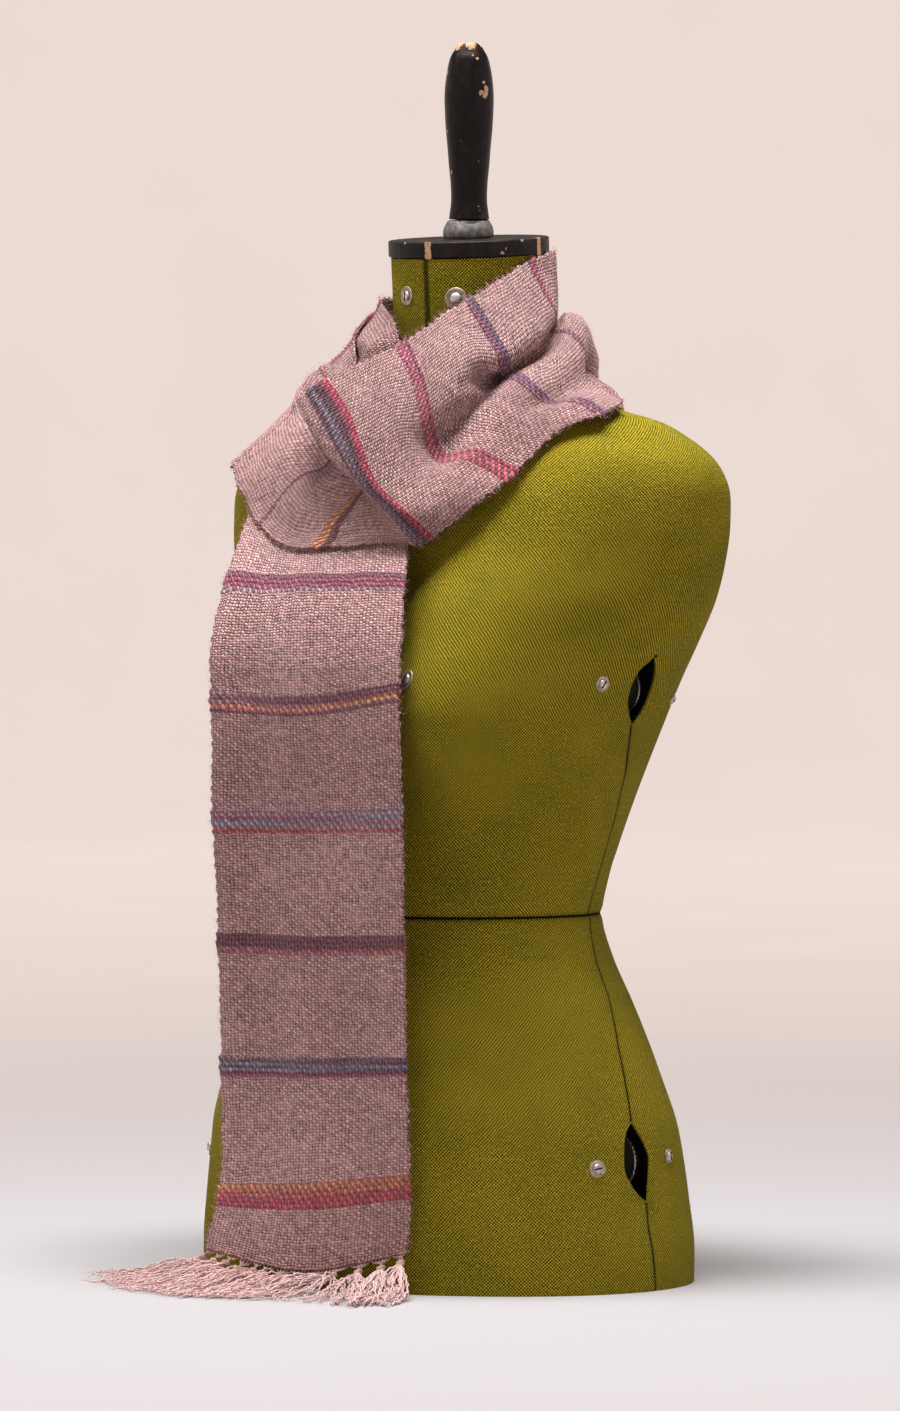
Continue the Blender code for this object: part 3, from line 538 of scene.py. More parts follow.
# ------------------------------------------------------------------- the looks
class Look:
    """A material's node graph, with a call for each kind of node that is used here."""

    def __init__(self, name, roughness=0.8, metallic=0.0):
        self.material = bpy.data.materials.new(name)
        self.material.use_nodes = True
        self.nodes, self.links = self.material.node_tree.nodes, self.material.node_tree.links
        self.shader = self.nodes["Principled BSDF"]
        self.set("Roughness", roughness)
        self.set("Metallic", metallic)

    def set(self, socket, value):
        self.plug(self.shader.inputs[socket], value)

    def plug(self, socket, value):
        if isinstance(value, bpy.types.NodeSocket):
            self.links.new(value, socket)
        else:
            socket.default_value = value

    def math(self, operation, a, b=0.0, clamp=False):
        node = self.nodes.new("ShaderNodeMath")
        node.operation, node.use_clamp = operation, clamp
        self.plug(node.inputs[0], a)
        self.plug(node.inputs[1], b)
        return node.outputs[0]

    def spread(self, value, low, high, to_low=0.0, to_high=1.0, smooth=True):
        node = self.nodes.new("ShaderNodeMapRange")
        node.interpolation_type = "SMOOTHSTEP" if smooth else "LINEAR"
        for socket, given in zip(("Value", "From Min", "From Max", "To Min", "To Max"), (value, low, high, to_low, to_high)):
            self.plug(node.inputs[socket], given)
        return node.outputs[0]

    def mix(self, share, a, b, kind="MIX"):
        node = self.nodes.new("ShaderNodeMix")
        node.data_type, node.blend_type = "RGBA", kind
        for index, given in ((0, share), (6, a), (7, b)):
            self.plug(node.inputs[index], given)
        return node.outputs[2]

    def noise(self, vector, scale, detail=2.0, roughness=0.5, stretch=None):
        if stretch:
            node = self.nodes.new("ShaderNodeVectorMath")
            node.operation = "MULTIPLY"
            self.plug(node.inputs[0], vector)
            node.inputs[1].default_value = stretch
            vector = node.outputs[0]
        node = self.nodes.new("ShaderNodeTexNoise")
        self.plug(node.inputs["Vector"], vector)
        node.inputs["Scale"].default_value = scale
        node.inputs["Detail"].default_value = detail
        node.inputs["Roughness"].default_value = roughness
        return node.outputs["Fac"]

    def random(self, value):
        node = self.nodes.new("ShaderNodeTexWhiteNoise")
        node.noise_dimensions = "1D"
        self.plug(node.inputs["W"], value)
        return node.outputs["Value"]

    def attribute(self, name):
        node = self.nodes.new("ShaderNodeAttribute")
        node.attribute_name = name
        return node.outputs["Vector"], node.outputs["Color"]

    def split(self, vector):
        node = self.nodes.new("ShaderNodeSeparateXYZ")
        self.plug(node.inputs[0], vector)
        return node.outputs[0], node.outputs[1], node.outputs[2]

    def place(self):
        return self.nodes.new("ShaderNodeTexCoord").outputs["Object"]

    def bump(self, height, distance, normal=None):
        node = self.nodes.new("ShaderNodeBump")
        node.inputs["Distance"].default_value = distance
        self.plug(node.inputs["Height"], height)
        if normal is not None:
            self.plug(node.inputs["Normal"], normal)
        self.set("Normal", node.outputs[0])
        return node.outputs[0]


def wool_look():
    """Plain weave: each crossing is a soft pillow of yarn with a gap round it painted in shade; the stripes are of
    thick, beaded picks, with painted shade between the beads and a painted highlight on their crowns.
    """
    look = Look("handwoven_wool", roughness=0.95)
    look.shader.inputs["Sheen Weight"].default_value = 0.25
    look.shader.inputs["Sheen Roughness"].default_value = 0.6
    look.shader.inputs["Sheen Tint"].default_value = (1.0, 0.88, 0.88, 1.0)
    look.shader.inputs["Specular IOR Level"].default_value = 0.12
    weave, _ = look.attribute("weave")
    _, weft = look.attribute("weft")
    across, station, stripe = look.split(weave)
    wander = look.math("SUBTRACT", look.noise(weave, 60.0, 3.0, 0.6, stretch=(1.0, 1.0, 0.0)), 0.5)
    wander_more = look.math("SUBTRACT", look.noise(weave, 75.0, 3.0, 0.6, stretch=(1.3, 0.8, 0.0)), 0.5)
    clump = look.math("SUBTRACT", look.noise(weave, 190.0, 3.0, 0.6, stretch=(0.7, 1.0, 0.0)), 0.5)
    fuzz = look.math("SUBTRACT", look.noise(weave, 900.0, 3.0, 0.65, stretch=(1.0, 0.8, 0.0)), 0.5)
    stripe = look.spread(look.math("ADD", stripe, look.math("ADD", look.math("MULTIPLY", wander_more, 0.9), look.math("MULTIPLY", fuzz, 0.8))), 0.30, 0.66)
    ends = look.math("ADD", look.math("DIVIDE", across, ENDS_APART * CM), look.math("MULTIPLY", wander, 1.8))
    thin_picks = look.math("ADD", look.math("DIVIDE", station, PICKS_APART * CM), look.math("MULTIPLY", wander_more, 2.2))
    thick_picks = look.math("ADD", look.math("DIVIDE", station, 1.7 * PICKS_APART * CM), look.math("ADD", look.math("MULTIPLY", wander_more, 2.0), look.math("MULTIPLY", clump, 0.9)))
    end = look.math("FLOOR", ends)
    u = look.math("SUBTRACT", look.math("SUBTRACT", ends, end), 0.5)

    def lobe(value, half):
        """One at the middle, none beyond its half width."""
        ratio = look.math("DIVIDE", value, half)
        return look.math("SUBTRACT", 1.0, look.math("MULTIPLY", ratio, ratio), clamp=True)

    # Plain cloth: pillows of two nearly equal yarns, all leaning with their twist.
    pick = look.math("FLOOR", thin_picks)
    v = look.math("SUBTRACT", look.math("SUBTRACT", thin_picks, pick), 0.5)
    warp_up = look.math("PINGPONG", look.math("ADD", end, pick), 1.0)
    weft_up = look.math("SUBTRACT", 1.0, warp_up)
    leaning = look.math("ADD", u, look.math("MULTIPLY", v, 0.45))
    rolling = look.math("ADD", v, look.math("MULTIPLY", u, 0.34))
    rise = look.math("ADD", look.math("MULTIPLY", look.math("MULTIPLY", lobe(leaning, 0.56), lobe(v, 0.62)), warp_up), look.math("MULTIPLY", look.math("MULTIPLY", lobe(u, 0.62), lobe(rolling, 0.56)), weft_up))
    cell = look.random(look.math("ADD", look.math("MULTIPLY", end, 3.71), look.math("MULTIPLY", pick, 0.613)))
    rise = look.math("ADD", rise, look.math("ADD", look.math("MULTIPLY", fuzz, 0.8), look.math("MULTIPLY", clump, 0.35)))
    rise = look.math("ADD", rise, look.math("MULTIPLY", look.math("SUBTRACT", cell, 0.5), 0.30))
    tone = look.spread(cell, 0.0, 1.0, 0.86, 1.14, smooth=False)
    along = look.spread(look.noise(weave, 420.0, 3.0, 0.6, stretch=(0.5, 0.7, 0.0)), 0.3, 0.7, 0.80, 1.20, smooth=False)
    patch = look.spread(look.noise(weave, 24.0, 4.0, 0.6, stretch=(1.0, 1.0, 0.0)), 0.3, 0.7, 0.90, 1.07, smooth=False)
    tone = look.grey(look.math("MULTIPLY", look.math("MULTIPLY", tone, along), patch))
    warp = (*linear(YARN["warp"]), 1.0)
    # Painted shade: the gaps round each pillow take the dark shade colour
    plain = look.mix(look.spread(rise, 0.10, 0.72), (*linear(YARN["shade"]), 1.0), look.mix(warp_up, weft, warp))
    # Stripes: beads of the thick picks, with the ends across them as short narrow dashes.
    pick = look.math("FLOOR", thick_picks)
    v = look.math("SUBTRACT", look.math("SUBTRACT", thick_picks, pick), 0.5)
    warp_up = look.math("PINGPONG", look.math("ADD", end, pick), 1.0)
    leaning = look.math("ADD", u, look.math("MULTIPLY", v, 0.40))
    rolling = look.math("ADD", v, look.math("MULTIPLY", u, 0.42))
    reach = look.math("ABSOLUTE", leaning)
    reach = look.math("ADD", reach, look.math("MULTIPLY", warp_up, look.math("SUBTRACT", 1.0, look.math("MULTIPLY", reach, 2.0))))
    bead = look.math("MULTIPLY", lobe(reach, 0.66), lobe(rolling, 0.72))
    dash = look.math("MULTIPLY", look.math("MULTIPLY", lobe(leaning, 0.36), lobe(v, 0.52)), warp_up)
    bead = look.math("ADD", bead, look.math("ADD", look.math("MULTIPLY", fuzz, 0.8), look.math("MULTIPLY", clump, 0.8)))
    # Painted shade: the weft darkens towards the gaps between the beads
    thick = look.mix(look.spread(bead, 0.08, 0.62), look.mix(0.74, weft, (*linear((46, 12, 28)), 1.0)), weft)
    # Painted highlight: a pale tint on the crown of each bead, as a glint
    thick = look.mix(look.math("MULTIPLY", look.spread(bead, 0.62, 1.15), 0.36), thick, look.mix(0.45, (*linear((226, 200, 208)), 1.0), weft))
    thick = look.mix(look.math("MULTIPLY", look.spread(look.math("ADD", dash, look.math("MULTIPLY", fuzz, 0.4)), 0.24, 0.58), 0.34), thick, look.mix(0.50, warp, weft))
    look.set("Base Color", look.mix(1.0, look.mix(stripe, plain, thick), tone, "MULTIPLY"))
    lift = look.math("MAXIMUM", bead, dash)
    height = look.math("ADD", look.math("MULTIPLY", rise, look.math("SUBTRACT", 1.0, stripe)), look.math("MULTIPLY", look.math("MULTIPLY", lift, 1.3), stripe))
    look.bump(height, 0.0013)
    return look.material


def nap_look():
    look = Look("wool_nap", roughness=1.0)
    look.shader.inputs["Sheen Weight"].default_value = 0.3
    look.shader.inputs["Specular IOR Level"].default_value = 0.1
    look.set("Base Color", look.attribute("shade")[1])
    return look.material


def fringe_look():
    """Loose, lightly twisted ends of the warp."""
    look = Look("fringe_yarn", roughness=0.95)
    look.shader.inputs["Sheen Weight"].default_value = 0.4
    look.shader.inputs["Specular IOR Level"].default_value = 0.15
    strand, _ = look.attribute("strand")
    along, round_it, _ = look.split(strand)
    # Painted shade: the twist darkens the grooves between the plies; the fuzz adds random tone
    twist = look.math("SINE", look.math("ADD", look.math("MULTIPLY", along, 2 * math.pi / 0.0026), round_it))
    fuzz = look.noise(look.place(), 1500.0, 3.0, 0.6)
    shade = look.math("ADD", look.spread(twist, -1.0, 0.4, 0.88, 1.04), look.spread(fuzz, 0.3, 0.7, -0.10, 0.10, smooth=False))
    look.set("Base Color", look.mix(1.0, look.attribute("shade")[1], look.grey(shade), "MULTIPLY"))
    look.bump(look.math("ADD", look.math("MULTIPLY", twist, 0.5), fuzz), 0.0004)
    return look.material


def canvas_look():
    """The form's cover: yellow-green ends over black picks, about one thread to the millimetre."""
    look = Look("form_canvas", roughness=0.9)
    look.shader.inputs["Specular IOR Level"].default_value = 0.06
    weave, _ = look.attribute("weave")
    across, up, _ = look.split(weave)
    ends = look.math("ADD", look.math("DIVIDE", across, CANVAS_THREAD), look.math("MULTIPLY", look.noise(weave, 130.0, 3.0), 1.2))
    picks = look.math("ADD", look.math("DIVIDE", up, CANVAS_THREAD), look.math("MULTIPLY", look.noise(weave, 120.0, 3.0, stretch=(0.7, 1.2, 1.0)), 1.2))
    crossing = look.math("MULTIPLY", look.math("SINE", look.math("MULTIPLY", ends, math.pi)), look.math("SINE", look.math("MULTIPLY", picks, math.pi)))
    blotch = look.noise(weave, 620.0, 2.0, 0.6, stretch=(1.0, 0.8, 1.0))
    slubs = look.math("ADD", crossing, look.math("MULTIPLY", look.math("SUBTRACT", blotch, 0.5), 0.9))
    yellow_up = look.spread(slubs, -0.26, 0.24)
    patch = look.noise(weave, 9.0, 4.0, 0.6)
    green = look.noise(weave, 26.0, 5.0, 0.65)
    yellow = look.mix(look.spread(patch, 0.3, 0.7), (*linear((176, 157, 38)), 1.0), (*linear((158, 144, 29)), 1.0))
    yellow = look.mix(look.spread(green, 0.42, 0.80), yellow, (*linear((144, 136, 33)), 1.0))
    yellow = look.mix(look.spread(blotch, 0.5, 0.8), yellow, (*linear((193, 175, 67)), 1.0))
    dark = look.mix(look.spread(blotch, 0.25, 0.6), (*linear((15, 16, 8)), 1.0), (*linear((30, 34, 8)), 1.0))
    cloth = look.mix(yellow_up, dark, yellow)
    seams, _ = look.attribute("seams")
    side, waist, collar = look.split(seams)
    nearest = look.math("MINIMUM", look.math("ABSOLUTE", side), look.math("ABSOLUTE", waist))
    line = look.spread(nearest, 0.0004, 0.0012, 1.0, 0.0)
    shadow = look.spread(nearest, 0.0, 0.004, 0.35, 0.0)
    thin = look.math("MULTIPLY", look.spread(look.math("ABSOLUTE", collar), 0.0002, 0.0009, 1.0, 0.0), 0.8)
    cloth = look.mix(look.math("MAXIMUM", look.math("MAXIMUM", line, shadow), thin), cloth, (*linear((14, 16, 8)), 1.0))
    look.set("Base Color", cloth)
    height = look.math("ADD", look.math("MULTIPLY", look.math("ABSOLUTE", crossing), 0.4), look.math("MULTIPLY", line, -2.0))
    look.bump(height, 0.0005)
    return look.material


def paint_look(name, colour, roughness, bare):
    """Black paint with worn places: the wear attribute says how near each point is to one."""
    look = Look(name, roughness)
    look.shader.inputs["Specular IOR Level"].default_value = 0.16
    place = look.place()
    wear = look.split(look.attribute("wear")[0])
    rough_edge = look.noise(place, 420.0, 4.0, 0.7)
    chipped = look.spread(look.math("ADD", wear[0], look.math("MULTIPLY", look.math("SUBTRACT", rough_edge, 0.5), 1.3)), 0.50, 0.56)
    rubbed = look.math("MULTIPLY", wear[1], look.spread(look.noise(place, 160.0, 5.0, 0.7), 0.45, 0.7))
    streak = look.noise(place, 120.0, 4.0, 0.65, stretch=(1.0, 1.0, 0.12))
    base = look.mix(look.spread(streak, 0.35, 0.75), (*linear(colour), 1.0), (*linear([min(255, c * 1.45 + 6) for c in colour]), 1.0))
    base = look.mix(look.math("MULTIPLY", rubbed, 0.8), base, (*linear((92, 58, 44)), 1.0))
    wood = look.mix(look.noise(place, 700.0, 3.0, 0.6, stretch=(1.0, 1.0, 0.3)), (*linear(bare), 1.0), (*linear([c * 0.72 for c in bare]), 1.0))
    look.set("Base Color", look.mix(chipped, base, wood))
    look.set("Roughness", look.spread(look.math("ADD", look.math("MULTIPLY", streak, 0.5), chipped), 0.1, 1.2, roughness - 0.06, roughness + 0.35, smooth=False))
    look.bump(look.math("SUBTRACT", look.math("MULTIPLY", look.noise(place, 300.0, 4.0, 0.6), 0.5), look.math("MULTIPLY", chipped, 0.6)), 0.0006)
    return look.material


def metal_look(name, colour, roughness, paint=False):
    look = Look(name, roughness, 1.0)
    place = look.place()
    worn = look.noise(place, 260.0, 4.0, 0.6)
    base = look.mix(look.spread(worn, 0.3, 0.7), (*linear(colour), 1.0), (*linear([c * 0.74 for c in colour]), 1.0))
    if paint:
        wear = look.split(look.attribute("wear")[0])
        over = look.spread(look.math("ADD", wear[0], look.math("MULTIPLY", look.math("SUBTRACT", look.noise(place, 300.0, 3.0, 0.6), 0.5), 1.2)), 0.5, 0.58)
        base = look.mix(over, base, (*linear((34, 31, 30)), 1.0))
        look.set("Metallic", look.math("SUBTRACT", 1.0, over))
    look.set("Base Color", base)
    look.set("Roughness", look.spread(worn, 0.2, 0.8, roughness - 0.08, roughness + 0.12, smooth=False))
    return look.material


def plain_look(name, colour, roughness, metallic=0.0):
    """One colour with a slight, cloudy unevenness."""
    look = Look(name, roughness, metallic)
    cloud = look.noise(look.place(), 90.0, 4.0, 0.6)
    look.set("Base Color", look.mix(look.spread(cloud, 0.3, 0.7), (*linear(colour), 1.0), (*linear([c * 0.9 for c in colour]), 1.0)))
    look.set("Roughness", look.spread(cloud, 0.2, 0.8, roughness - 0.04, min(roughness + 0.06, 1.0), smooth=False))
    return look.material


def studio_look():
    """A white floor that turns, as the lamps' light on it fades, into an evenly lit pale wall."""
    look = Look("backdrop", 0.9)
    side, deep, up = look.split(look.place())
    away = look.math("ADD", look.math("MULTIPLY", side, side), look.math("MULTIPLY", deep, deep))
    lamp = look.math("POWER", look.math("DIVIDE", 5.0, look.math("ADD", 5.0, away)), 2.0)
    grain = look.spread(look.noise(look.place(), 3.0, 3.0, 0.5), 0.3, 0.7, 0.985, 1.015, smooth=False)
    glow = look.math("MULTIPLY", look.math("SUBTRACT", 1.0, lamp), grain)
    look.set("Base Color", look.mix(lamp, (0.06, 0.05, 0.045, 1.0), (*linear(FLOOR_TONE), 1.0)))
    look.set("Emission Color", look.mix(glow, (0.0, 0.0, 0.0, 1.0), (*linear(WALL_TONE), 1.0)))
    look.shader.inputs["Emission Strength"].default_value = 1.0
    return look.material


def wood_look():
    """Bare, slightly frayed wood, its grain across the block."""
    look = Look("bare_wood", 0.85)
    grain = look.noise(look.place(), 900.0, 4.0, 0.6, stretch=(1.0, 1.0, 0.25))
    look.set("Base Color", look.mix(look.spread(grain, 0.3, 0.7), (*linear((206, 172, 132)), 1.0), (*linear((168, 130, 92)), 1.0)))
    look.bump(grain, 0.0005)
    return look.material


def grey(self, value):
    node = self.nodes.new("ShaderNodeCombineXYZ")
    for socket in node.inputs[:3]:
        self.plug(socket, value)
    return node.outputs[0]


Look.grey = grey

# ---------------------------------------------------------------- the torso
SIDES, RINGS = 236, 300
SEAM_UPPER = [(0.0, 4.0), (23.41, 4.2), (26.11, 6.4), (29.42, 4.9), (32.1, 0.9), (35.41, -5.0), (37.5, -7.5), (39.8, -8.7)]
SEAM_LOWER = [(0.0, -8.0), (3.86, -10.2), (5.61, -9.6), (8.4, -11.0), (10.63, -11.1), (11.98, -9.2), (15.24, -5.7), (18.55, 0.4), (20.53, 2.0), (23.3, 6.4)]
WAIST = 23.4
FLOOR_TONE, WALL_TONE = (176, 174, 177), (231, 215, 208)
OPENINGS = {
    # turn, height round the pointed opening of the form's left; the right one mirrors it
    "upper": [(-8.7, 39.84), (-9.7, 39.47), (-11.7, 39.03), (-12.2, 38.14), (-11.1, 37.07), (-8.3, 36.18), (-5.2, 35.47), (-3.9, 35.91), (-2.7, 36.73), (-2.7, 37.37), (-3.2, 38.13), (-5.1, 38.95)],
    "lower": [(-11.1, 10.63), (-13.7, 10.16), (-15.2, 9.62), (-16.4, 8.63), (-16.8, 7.63), (-14.8, 6.68), (-12.2, 6.02), (-9.6, 5.61), (-8.7, 6.35), (-7.6, 7.27), (-6.4, 8.44), (-7.5, 9.15), (-9.5, 9.99)],
}
SCREWS = [
    # turn   height  head   ring   slot  mirrored
    (-69.8, 38.41, 0.35, 0.64, 70, True),
    (-22.2, 38.09, 0.29, 0.50, 60, True),
    (17.7, 37.06, 0.29, 0.46, 20, True),
    (-25.7, 7.85, 0.30, 0.55, 10, True),
    (4.2, 8.29, 0.28, 0.44, 80, True),
    (-110.4, 63.24, 0.30, 0.62, 78, False),
]
RIVET = (-67.1, 63.02, 0.40, 0.72)


def outline(rows, count=96):
    """A closed smooth outline in (turn, height), evenly divided, pointed at its first place and its lowest."""
    points = np.array(rows)
    low = int(np.argmin(points[:, 1]))
    girth = 13.0 * math.pi / 180
    halves = []
    for part in (points[: low + 1], np.concatenate([points[low:], points[:1]])):
        scaled = np.stack([part[:, 0] * girth, part[:, 1], 0 * part[:, 0]], axis=1)
        line = even(through(scaled, 200), count // 2 + 1)[:-1]
        halves.append(np.stack([line[:, 0] / girth, line[:, 1]], axis=1))
    return np.concatenate(halves)


def inside(turn, height, edge):
    """Which points of the (turn, height) plane are within the closed outline."""
    result = np.zeros(np.shape(turn), bool)
    for (x0, y0), (x1, y1) in zip(edge, np.roll(edge, -1, axis=0)):
        crosses = (y0 > height) != (y1 > height)
        with np.errstate(divide="ignore", invalid="ignore"):
            result ^= crosses & (turn < (x1 - x0) * (height - y0) / (y1 - y0 if y1 != y0 else 1e-12) + x0)
    return result


def stitched(outer, inner, outer_first, inner_first):
    """Triangles between two closed loops round the same middle, both given by their bearings in order."""
    count_outer, count_inner = len(outer), len(inner)
    triangles, i, j = [], 0, 0
    while i < count_outer or j < count_inner:
        bearing_outer = outer[(i + 1) % count_outer] + (2 * math.pi if i + 1 >= count_outer else 0)
        bearing_inner = inner[(j + 1) % count_inner] + (2 * math.pi if j + 1 >= count_inner else 0)
        a, b = outer_first + i % count_outer, inner_first + j % count_inner
        if j >= count_inner or (i < count_outer and bearing_outer <= bearing_inner):
            triangles.append((a, outer_first + (i + 1) % count_outer, b))
            i += 1
        else:
            triangles.append((a, inner_first + (j + 1) % count_inner, b))
            j += 1
    return triangles


def build_torso(look):
    """The covered torso: rings from hem to neck, with its openings cut out along their outlines."""
    heights = torso_heights(RINGS - 4)
    heights = np.sort(np.concatenate([heights, [WAIST - 0.28, WAIST - 0.08, WAIST + 0.08, WAIST + 0.28]]))
    turns = np.degrees(np.arange(SIDES) * 2 * math.pi / SIDES) - 180.0
    turn, height = np.meshgrid(turns, heights)
    edges = []
    for rows in OPENINGS.values():
        edge = outline(rows)
        edges.append(edge)
        edges.append(np.stack([np.where(edge[:, 0] < 0, -180.0, 180.0) - edge[:, 0], edge[:, 1]], axis=1)[::-1])
    points = torso_points(height, np.radians(turn)) * CM
    lengths = np.linalg.norm(np.diff(np.concatenate([points, points[:, :1]], axis=1), axis=1), axis=2)
    round_it = np.concatenate([np.zeros((len(heights), 1)), np.cumsum(lengths, axis=1)[:, :-1]], axis=1)
    middle = int(np.argmin(abs(turns + 45)))
    round_it = round_it - round_it[:, middle : middle + 1]
    up = np.concatenate([[0], np.cumsum(np.linalg.norm(np.diff(points[:, middle], axis=0), axis=1))])

    def facts(turn, height):
        """Where a place of the form is in its weave, and how far from each kind of seam, in metres."""
        rows = np.interp(height, heights, np.arange(len(heights)))
        columns = np.interp(turn, turns, np.arange(SIDES))
        i = np.clip(rows.astype(int), 0, len(heights) - 2)
        j = np.clip(columns.astype(int), 0, SIDES - 2)
        u, v = rows - i, columns - j
        around = (round_it[i, j] * (1 - v) + round_it[i, j + 1] * v) * (1 - u) + (round_it[i + 1, j] * (1 - v) + round_it[i + 1, j + 1] * v) * u
        weave = np.stack([around, np.interp(height, heights, up), 0 * turn], axis=-1)
        at = torso_points(height, np.radians(turn)) * CM
        reach = np.hypot(at[..., 0], at[..., 1] + 0.01)
        shown = np.where(np.abs(turn) > 90, np.where(turn > 0, 180.0, -180.0) - turn, turn)
        upper, lower = np.array(SEAM_UPPER), np.array(SEAM_LOWER)
        place = np.where(height > WAIST, np.interp(height, upper[:, 0], upper[:, 1]), np.interp(height, lower[:, 0], lower[:, 1]))
        side = np.where(height > 39.6, 0.05, np.radians(shown - place) * reach * 0.97)
        front = np.where(height > 50, np.radians(turn + 90) * reach, 0.05 * np.sign(turn + 90.01))
        seams = np.clip(np.stack([side, (height - WAIST) * CM, front], axis=-1), -0.05, 0.05)
        # The cover rolls in at the waist joint, and the side panel lies a little lower than its neighbours.
        dip = 0.13 * np.exp(-(((height - WAIST) / 0.24) ** 2)) + 0.05 * np.exp(-((side / 0.0022) ** 2)) * (height < 39.6)
        step = 0.05 * np.clip(side / 0.0015, 0, 1) * np.clip((0.045 - side) / 0.004, 0, 1) * np.clip((39.0 - height) / 2.0, 0, 1)
        at[..., 0] -= (dip + step) * np.cos(np.radians(turn)) * CM
        at[..., 1] -= (dip + step) * np.sin(np.radians(turn)) * CM
        return at, weave, seams

    at, weave, seams = facts(turn, height)
    faces = np.array(grid_faces(len(heights), SIDES, ring=True))
    all_points, all_weave, all_seams = [at.reshape(-1, 3)], [weave.reshape(-1, 3)], [seams.reshape(-1, 3)]
    triangles, start = [], turn.size
    flat_turn, flat_height = turn.ravel(), height.ravel()
    girth = 14.5 * math.pi / 180
    for edge in edges:
        centre = edge.mean(axis=0)
        hole = inside(turn, height, centre + (edge - centre) * 1.04).ravel()
        cut = hole[faces].any(axis=1)
        gone, faces = faces[cut], faces[~cut]
        sides = np.concatenate([gone[:, [k, (k + 1) % 4]] for k in range(4)])
        known = {tuple(side) for side in sides}
        border = [a for a, b in known if (b, a) not in known]
        bearing = np.arctan2(flat_height[border] - centre[1], (flat_turn[border] - centre[0]) * girth)
        order = np.argsort(bearing)
        border, bearing = np.array(border)[order], bearing[order]
        inner = np.arctan2(edge[:, 1] - centre[1], (edge[:, 0] - centre[0]) * girth)
        order = np.argsort(inner)
        ring, inner = edge[order], inner[order]
        theirs, their_weave, their_seams = facts(ring[:, 0], ring[:, 1])
        all_points.append(theirs)
        all_weave.append(their_weave)
        all_seams.append(their_seams)
        for triangle in stitched(bearing, inner, 0, len(border)):
            triangles.append([int(border[k]) if k < len(border) else start + k - len(border) for k in triangle])
        start += len(ring)
    points = np.concatenate(all_points)
    every_face = [tuple(int(k) for k in face) for face in faces] + [tuple(t) for t in triangles]
    torso = piece("dress_form_torso", points, np.array(every_face, dtype=object), look, attributes={"weave": np.concatenate(all_weave), "seams": np.concatenate(all_seams)})
    return torso, edges


def build_pockets(edges, canvas, dark):
    """Each opening's turned-in edge of canvas, and behind it a near-black hollow of painted shade."""
    rims, hollows = [], []
    for edge in edges:
        rings = []
        centre = edge.mean(axis=0)
        for depth, grow in ((-0.01, 1.0), (0.05, 1.0), (0.14, 1.01)):
            ring = []
            for turn, height in centre + (edge - centre) * grow:
                spot, normal = on_form(turn, height)
                ring.append(spot - normal * depth * CM)
            rings.append(ring)
        points = np.array(rings)
        rims.append((points.reshape(-1, 3), grid_faces(3, len(edge), ring=True)))
        # The hollow is near-black: painted shade for the dark inside of the form
        rings = []
        spot, inward = on_form(*centre)
        for depth, grow in ((0.12, 1.01), (0.3, 1.5), (1.6, 2.0), (3.6, 1.8), (4.2, 0.05)):
            ring = []
            for turn, height in centre + (edge - centre) * grow:
                at, _ = on_form(turn, height)
                ring.append(at - inward * depth * CM)
            rings.append(ring)
        hollows.append((np.array(rings).reshape(-1, 3), grid_faces(5, len(edge), ring=True)))
    points, faces = joined(rims)
    weave = points[:, [0, 2, 1]]
    piece("opening_edges", points, faces, canvas, attributes={"weave": weave, "seams": np.full((len(points), 3), 0.004)})
    points, faces = joined(hollows)
    piece("opening_hollows", points, faces, dark)


def mirrored(points, faces):
    return points * np.array([-1.0, 1, 1]), [tuple(reversed(face)) for face in faces]


def box(size, at=(0, 0, 0)):
    x, y, z = (s / 2 for s in size)
    points = np.array([(-x, -y, -z), (x, -y, -z), (x, y, -z), (-x, y, -z), (-x, -y, z), (x, -y, z), (x, y, z), (-x, y, z)]) + np.array(at)
    return points, [(3, 2, 1, 0), (4, 5, 6, 7), (0, 1, 5, 4), (1, 2, 6, 5), (2, 3, 7, 6), (3, 0, 4, 7)]


